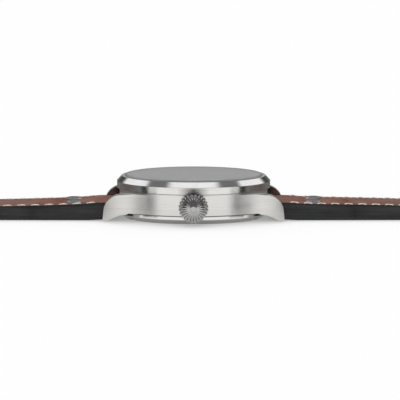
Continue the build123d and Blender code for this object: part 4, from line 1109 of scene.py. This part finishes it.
def long_strap():
    """The long half, with its row of holes."""
    points, faces, zones = strap_mesh(long_half)
    obj = made("strap_long", turned_round(points), faces, zones)
    tools = bmesh.new()
    for index in range(strap_holes):
        x = -(bar_place + long_half_length - strap_hole_first - index * strap_hole_pitch)
        punch(tools, x, strap_hole_radius, strap_hole_depth)
    punched(obj, tools)
    finished(obj, strap_skin, "strap_6", ["strap_6_top", "strap_6_padding", "strap_6_lining"], 45)


def buckle_strap():
    """The buckle half, folded round the buckle's bar and slotted for the tongue."""
    obj = made("strap_short", *strap_mesh(buckle_half))
    half = tongue_slot_width / 2
    x = bar_place + buckle_half_length - tongue_slot_length + half
    tools = bmesh.new()
    punch(tools, x, half, punch_depth)
    for vertex in bmesh.ops.create_cube(tools, size=1.0)["verts"]:
        vertex.co = Vector(((x + (vertex.co.x + 0.5) * tongue_slot_reach) * mm, vertex.co.y * 2 * half * mm,
                            vertex.co.z * tongue_slot_depth * mm))
    punched(obj, tools, use_self=True)
    finished(obj, strap_skin, "strap_12", ["strap_12_top", "strap_12_padding", "strap_12_lining"], 45)


def merged(parts):
    """The points and faces of several bodies as one."""
    points, faces = [], []
    for more, skins in parts:
        faces += [tuple(len(points) + index for index in face) for face in skins]
        points += more
    return points, faces


def stitch(start, end, height, turn):
    """One stitch: twisted plies that rise out of one hole and dive into the next."""
    middle = Vector(((start[0] + end[0]) / 2, (start[1] + end[1]) / 2, 0))
    length = hypot(end[0] - start[0], end[1] - start[1])
    angle = bearing(end, start) + turn
    along = Vector((cos(angle), sin(angle), 0))
    across = Vector((-sin(angle), cos(angle), 0))
    plies = []
    for ply in range(stitch_plies):
        rings = []
        for ring in range(stitch_rings):
            part = ring / (stitch_rings - 1)
            arch = 1 - (2 * part - 1) ** 4
            twist = 2 * pi * (thread_twist * part + ply / stitch_plies)
            centre = middle + along * (part - 0.5) * length + across * cos(twist) * thread_radius * thread_ply_offset
            z = height(centre.x, centre.y) + thread_radius * (thread_arch * arch - thread_sink)
            z += sin(twist) * thread_radius * thread_ply_lift * arch
            rings.append([(*(centre + across * wide)[:2], z + high * thread_thickness / thread_breadth)
                          for wide, high in circle(thread_radius * thread_breadth, stitch_sides)])
        plies.append(capped(rings))
    return merged(plies)


def stitch_row(strap):
    """The middles of the stitches down one side of a strap half, as lengths along the row."""
    if strap.folded:
        count = int((strap.length - stitch_last - stitch_first) / stitch_pitch)
        return [stitch_first + stitch_length / 2 + index * stitch_pitch for index in range(count)]
    run = strap_tip(strap) - stitch_first + (strap_end_width / 2 - stitch_inset) * pi / 2
    count = int(run / stitch_pitch)
    return [stitch_first + run / count * (index + 0.5) for index in range(count)]


def stitched(name, strap, body, flip):
    """All the stitches of a strap half, above and below."""
    tip, radius = strap_tip(strap), strap_end_width / 2 - stitch_inset

    def above(x, y):
        place = min(x - bar_place, strap.length)
        low, edge, crest = strap_levels(place, strap)
        if place > tip:
            y = hypot(place - tip, y)
        return top_height(y, strap_half_width(place), edge, crest) - thread_channel_share * channel_depth

    def below(x, y):
        low = strap_levels(min(x - bar_place, strap.length), strap)[0]
        return -(low + channel_depth + thread_radius * thread_sink_below)

    stitches = []
    for side in (-1, 1):
        for along in stitch_row(strap):
            if along > tip:
                angle = (along - tip) / radius
                centre = (bar_place + tip + radius * sin(angle), side * radius * cos(angle))
                direction = (cos(angle), -side * sin(angle))
            else:
                slope = (strap_half_width(along + 1) - strap_half_width(along - 1)) / 2
                centre = (bar_place + along, side * (strap_half_width(along) - stitch_inset))
                direction = (1.0, side * slope)
            start, end = [(centre[0] + direction[0] * reach, centre[1] + direction[1] * reach)
                          for reach in (-stitch_length / 2, stitch_length / 2)]
            stitches.append(stitch(start, end, above, side * stitch_turn))
            points, faces = stitch(start, end, below, -side * stitch_turn)
            stitches.append(([(x, y, -z) for x, y, z in points], faces))
    points, faces = merged(stitches)
    finished(made(name, turned_round(points) if flip else points, faces), cream, body, sharp=60)


def rivet_pieces(name, strap, body, node, way):
    """Two domed rivets through the strap, their heads pressed a little into the leather."""
    low, edge, crest = strap_levels(rivet_place, strap)
    low += rivet_foot
    seat = crest - rivet_sink
    profile = [(0.0, low), (rivet_shank_radius, low), (rivet_shank_radius, seat)]
    profile += [(radius, seat + height) for radius, height in rivet_head]
    bm = bmesh.new()
    for side in (-1, 1):
        place = (way * (bar_place + rivet_place), side * rivet_spread / 2)
        piece = revolved("rivet", rounded(profile, rivet_corners, rivet_corner_steps), rivet_steps, place)
        bm.from_mesh(piece.data)
        bpy.data.objects.remove(piece)
    finished(built(name, bm), rivet_steel, body, [node], 50)


def rounded_loop(half_wide, half_high, radius, steps):
    """A rounded oblong's points, each with the direction that it faces."""
    loop = []
    for quarter, (across, up) in enumerate(((1, 1), (-1, 1), (-1, -1), (1, -1))):
        for step in range(steps + 1):
            angle = pi / 2 * (quarter + step / steps)
            loop.append((across * (half_wide - radius) + radius * cos(angle),
                         up * (half_high - radius) + radius * sin(angle), angle))
    return loop


def keeper_piece(name, place, drop, body, node):
    """A leather loop with rounded, painted edges."""
    half_thick = keeper_thickness / 2
    half_high = (keeper_inner_height + drop + keeper_thickness) / 2
    middle = keeper_lift - drop - half_thick + half_high
    path = rounded_loop(keeper_inner_width / 2 + half_thick, half_high, keeper_outer_corner - half_thick,
                        keeper_corner_steps)
    section = rounded_loop(keeper_width / 2, half_thick, keeper_edge_round, keeper_edge_steps)
    count = len(section)
    points = [(bar_place + place + along, y + out * cos(angle), middle + z + out * sin(angle))
              for y, z, angle in path for along, out, turn in section]
    faces = []
    for index in range(len(path)):
        faces += band(index * count, (index + 1) % len(path) * count, count)
    zones = []
    for index in range(count):
        out = (section[index][1] + section[(index + 1) % count][1]) / 2
        on_face = abs(out) > half_thick - keeper_face_tolerance
        zones.append(1 if not on_face else 0 if out > 0 else 2)
    obj = made(name, points, faces, zones * len(path))
    finished(obj, strap_skin, body, [node], 45)


def softened(node, name, width, materials, body, segments=3):
    """A copy of a rigid node with its edges rounded."""
    obj = placed(name, nodes[node].data.copy())
    bm = cleaned(obj, 2 * merge_distance, soft_flat_angle)
    edges = [each for each in bm.edges
             if len(each.link_faces) == 2 and each.calc_face_angle(0) > radians(soft_least_angle)]
    bmesh.ops.bevel(bm, geom=edges, offset=width * mm, segments=segments, profile=0.5,
                    affect="EDGES", clamp_overlap=True)
    closed(bm, obj.data)
    finished(obj, materials, body, [node], flats=True)
    return obj


def back_piece():
    """The case back, with a darker steel on the cone round its flat, painted shade."""
    back = softened("case_back", "back_ring", back_bevel, [turned, shaded_cone_steel], "case", 2)
    # The cone's faces take the darker steel, painted shade.
    for polygon in back.data.polygons:
        low = polygon.center.z < back_cone_height * mm
        polygon.material_index = int(low and polygon.normal.z > back_flat_normal)


# Dial
def flat_piece(name, shapes, low, high, material, body):
    """Flat shapes raised from one height to another, joined in one piece."""
    bm = bmesh.new()
    for outline in shapes:
        face = bm.faces.new([bm.verts.new((x * mm, y * mm, low * mm)) for x, y in outline])
        result = bmesh.ops.extrude_face_region(bm, geom=[face])
        moved = [item for item in result["geom"] if isinstance(item, bmesh.types.BMVert)]
        bmesh.ops.translate(bm, verts=moved, vec=(0, 0, (high - low) * mm))
    bmesh.ops.recalc_face_normals(bm, faces=bm.faces)
    finished(built(name, bm), material, body)


def on_dial(outline, turn, radius=0.0):
    """An outline drawn about 12 o'clock, set at a radius and turned round the dial."""
    angle = -2 * pi * turn
    return [((x + radius) * cos(angle) - y * sin(angle), (x + radius) * sin(angle) + y * cos(angle))
            for x, y in outline]


def dial_marks():
    """The minute track, and the triangle with its two dots."""
    shapes = []
    for minute in range(60):
        length, width = track_marks[minute % 5 == 0]
        place = track_radius - length / 2 + track_overhang
        shapes.append(on_dial(oblong(-length / 2, length / 2, width / 2), minute / 60, place))
    high, half = triangle_size * triangle_height_share, triangle_size * triangle_share
    shapes.append(on_dial([(-high, 0), (0, -half), (0, half)], 0, track_radius - triangle_inset))
    for offset in (-high, high):
        dot = circle(triangle_dot_radius, triangle_dot_steps, (0, offset))
        shapes.append(on_dial(dot, 0, track_radius - triangle_dot_inset))
    flat_piece("dial_marks", shapes, dial_roof, dial_roof + print_height, dial_print, "case")


def dial_numerals():
    """The hours from 1 to 11."""
    bm = bmesh.new()
    for hour in range(1, 12):
        curve = bpy.data.curves.new(f"hour_{hour}", "FONT")
        curve.body = str(hour)
        curve.size = numeral_size * mm
        curve.align_x = "CENTER"
        curve.align_y = "CENTER"
        curve.extrude = print_height / 2 * mm
        curve.offset = numeral_offset * mm
        text = placed(f"hour_{hour}", curve)
        (x, y), = on_dial([(0, 0)], hour / 12, numeral_radius)
        text.matrix_world = (Matrix.Translation((x * mm, y * mm, (dial_roof + print_height / 2) * mm))
                             @ Matrix.Rotation(-pi / 2, 4, "Z"))
        bpy.context.view_layer.update()
        mesh = evaluated(text)
        mesh.transform(text.matrix_world)
        bm.from_mesh(mesh)
        bpy.data.objects.remove(text)
    finished(built("dial_numerals", bm), dial_print, "case")


def dial_piece():
    """The dial blank, smooth at its rim."""
    low = dial_roof - dial_thickness
    profile = [(dial_hole_radius, low), (dial_radius, low), (dial_radius, dial_roof), (dial_hole_radius, dial_roof)]
    finished(revolved("dial_face", profile, dial_steps), dial_paint, "case", ["dial"], flats=True)


def lume_on(node, name, angle, height, widths):
    """The filling let into a hand, from its width at a few radii."""
    outline = [(radius, -width / 2) for radius, width in widths]
    outline += [(radius, width / 2) for radius, width in reversed(widths)]
    flat_piece(name, [on_dial(outline, angle / 360)], height, height + lume_height, lume, node)


case_piece()
bezel_piece()
crystal_piece()
gasket_piece()
crown_piece()
long_strap()
buckle_strap()
stitched("stitches_long", long_half, "strap_6", True)
stitched("stitches_short", buckle_half, "strap_12", False)
rivet_pieces("rivets_long", long_half, "strap_6", "strap_6_rivets", -1)
rivet_pieces("rivets_short", buckle_half, "strap_12", "strap_12_rivets", 1)
keeper_piece("keeper_fixed", fixed_keeper_place, 0.0, "strap_12", "fixed_keeper")
keeper_piece("keeper_free", free_keeper_place, free_keeper_drop, "free_keeper", "free_keeper")
back_piece()
softened("buckle_frame", "buckle_loop", buckle_bevel, brushed, "buckle")
softened("buckle_tongue", "buckle_pin", tongue_bevel, polished, "buckle_tongue")
dial_piece()
dial_marks()
dial_numerals()
lume_on("hour_hand", "hour_lume", 305.0, 7.65, [(2.2, 0.5), (5.3, 1.5), (9.6, 0.2)])
lume_on("minute_hand", "minute_lume", 60.0, 8.2, [(2.2, 0.4), (7.8, 1.2), (14.4, 0.2)])

node_materials = {
    turned: ("ratchet_wheel", "crown_wheel"),
    polished: ("buckle_bar", "spring_bars", "spring_bar_12_tip", "spring_bar_6_tip", "crown_tube", "winding_stem",
               "cannon_pinion", "barrel_arbor", "winding_pinion", "escape_wheel", "pallet_fork", "rotor_screw",
               "mainspring", "spring_bar_12_spring", "spring_bar_6_spring"),
    crystal_glass: ("back_window",),
    rubber: ("back_gasket", "crown_gasket"),
    dial_paint: ("inner_ring",),
    hand_steel: ("hour_hand", "minute_hand", "second_hand"),
    striped: ("barrel_bridge", "train_bridge", "balance_cock", "pallet_cock", "rotor"),
    spotted: ("main_plate", "movement_ring"),
    gilt: ("minute_wheel", "hour_wheel", "mainspring_barrel", "centre_wheel", "third_wheel", "fourth_wheel",
           "balance_wheel"),
    blued: ("bridge_screws", "hairspring"),
    ruby: ("jewels",),
}
for material, names in node_materials.items():
    for name in names:
        mesh = nodes[name].data
        mesh.materials.clear()
        mesh.materials.append(material)


# Studio
def dull(name, shade):
    """A grey without any shine."""
    return Finish(name, (shade, shade, shade), 0.9, 0.0, Specular_IOR_Level=0.0)


def flat_card(name, corners, faces=((0, 1, 2, 3),)):
    """A stage piece of flat faces, from corners in metres above the table."""
    mesh = bpy.data.meshes.new(name)
    mesh.from_pydata([(x, y, z + cad_low.z - card_sink) for x, y, z in corners], [], list(faces))
    card = placed(name, mesh)
    return card


def floor_piece():
    """A pale table that keeps the watch's soft shadow."""
    table = flat_card("table", [(x, y, 0) for x, y in oblong(-table_reach, table_reach, table_reach)])
    finish = dull("table_white", 0.9)
    glow = finish.node("Emission", {"Color": (1, 1, 1, 1), "Strength": 1.0})
    path = finish.node("LightPath").outputs
    seen = finish.maths("MAXIMUM", path["Is Camera Ray"], path["Is Glossy Ray"])
    seen = finish.maths("MAXIMUM", seen, path["Is Transmission Ray"])
    finish.blended(finish.maths("MULTIPLY", seen, table_glow), glow)
    table.data.materials.append(finish.material)


def steel_only(card, finish):
    """Leaves a card visible to reflections only."""
    card.data.materials.append(finish.material)
    card.visible_camera = False
    card.visible_diffuse = False
    card.visible_transmission = False
    card.visible_shadow = False


def dark_cards():
    """Low black and grey cards beside the watch and one over the crown, which only the steel shows; the dark card over
    the crown is painted shade, standing in for the crown's shadow on the wall above it.
    """
    black, grey = dull("card_black", 0.02), dull("card_grey", 0.2)
    for side, way in ((-1, "left"), (1, "right")):
        for name, line, finish, height in (("black", black_card, black, card_height),
                                           ("grey", grey_card, grey, card_height),
                                           ("low", low_card, black, low_card_height)):
            corners = [(side * x, y, level) for level in (0, height) for x, y in line]
            steel_only(flat_card(f"card_{name}_{way}", corners, band(0, len(line), len(line))[:-1]), finish)
    # The card over the crown: painted shade, a dark sheet seen only in the steel where the crown's shadow falls on the
    # wall above it.
    x, y, low, high = crown_card
    fading = dull("card_fading", 0.04)
    aside = fading.maths("ABSOLUTE", fading.split(fading.place)["X"])
    fading.blended(fading.ranged(aside, 0.0, x, crown_card_thin), fading.node("BsdfTransparent"))
    steel_only(flat_card("card_crown", [(-x, y, low), (x, y, low), (x, y, high), (-x, y, high)]), fading)


class Sky(Graph):
    """The world's brightness as seen in the steel, by direction."""

    interpolation = "SMOOTHSTEP"

    def __init__(self, tree):
        super().__init__(tree)
        self.sideways, self.inward, self.height = self.split(self.node("TexCoord").outputs["Generated"])
        self.azimuth = self.maths("ARCTAN2", self.maths("ABSOLUTE", self.sideways),
                                  self.maths("MULTIPLY", self.inward, -1))

    def times(self, first, second):
        return self.maths("MULTIPLY", first, second)

    def window(self, value, start, full, fading, end):
        """1 where a value is between two limits, soft at both."""
        return self.times(self.ranged(value, start, full), self.ranged(value, fading, end, 1.0, 0.0))

    def patch(self, turns, rises, strength):
        """A patch between two directions round the watch and two heights, all in degrees, soft at its edges."""
        around = self.window(self.azimuth, *[radians(turn) for turn in turns])
        levels = [sin(radians(min(rise, 90))) + max(rise - 90, 0) * sky_overrun for rise in rises]
        return self.times(self.times(around, self.window(self.height, *levels)), strength)

    def softbox(self, across, along):
        """A soft-edged light overhead, between two widths and two depths."""
        area = self.times(self.window(self.sideways, *across), self.window(self.inward, *along))
        return self.times(area, self.ranged(self.height, *sky_overhead))


def studio_world():
    """White all round, with dark patches that only the steel and glass show."""
    world = bpy.data.worlds.new("studio")
    bpy.context.scene.world = world
    world.use_nodes = True
    sky = Sky(world.node_tree)
    dark, light = 0.0, 0.0
    for turns, rises, strength in sky_dark:
        dark = sky.maths("MAXIMUM", dark, sky.patch(turns, rises, strength))
    for turns, rises in sky_light:
        light = sky.maths("MAXIMUM", light, sky.patch(turns, rises, 1.0))
    light = sky.maths("MAXIMUM", light, sky.softbox(*sky_softbox))
    dark = sky.times(dark, sky.maths("SUBTRACT", 1.0, light))
    path = sky.node("LightPath").outputs
    seen = sky.maths("SUBTRACT", 1.0, sky.times(dark, path["Is Glossy Ray"]))
    seen = sky.maths("SUBTRACT", seen, sky.times(path["Is Diffuse Ray"], 1 - sky_fill))
    background = sky.tree.nodes["Background"]
    sky.link(seen, background.inputs["Strength"])
    background.inputs["Color"].default_value = (1, 1, 1, 1)


def back_light():
    """A broad soft light from behind and above, which the steel doesn't mirror."""
    data = bpy.data.lights.new("back_light", "SUN")
    data.energy = back_strength
    data.angle = radians(back_spread)
    obj = placed("back_light", data)
    obj.rotation_euler = (radians(back_tilt), 0, 0)
    obj.visible_glossy = False
    obj.visible_transmission = False


def photo_camera():
    """The photograph's camera, which looks at the crown from a little above the table."""
    elevation = radians(view_elevation)
    target_x = (photo_side / 2 - photo_axis_x) / photo_scale * mm
    target_z = (photo_table_y - photo_side / 2) / photo_scale / cos(elevation) * mm
    data = bpy.data.cameras.new("photo_camera")
    data.sensor_width = sensor_width
    data.lens = sensor_width * camera_distance / (photo_side / photo_scale * mm)
    data.clip_end = clip_end
    camera = placed("photo_camera", data)
    camera.location = (target_x, -camera_distance * cos(elevation), target_z + camera_distance * sin(elevation))
    camera.rotation_euler = (pi / 2 - elevation, 0, 0)
    bpy.context.scene.camera = camera


floor_piece()
dark_cards()
studio_world()
back_light()
photo_camera()
bpy.context.scene.view_settings.view_transform = "Standard"
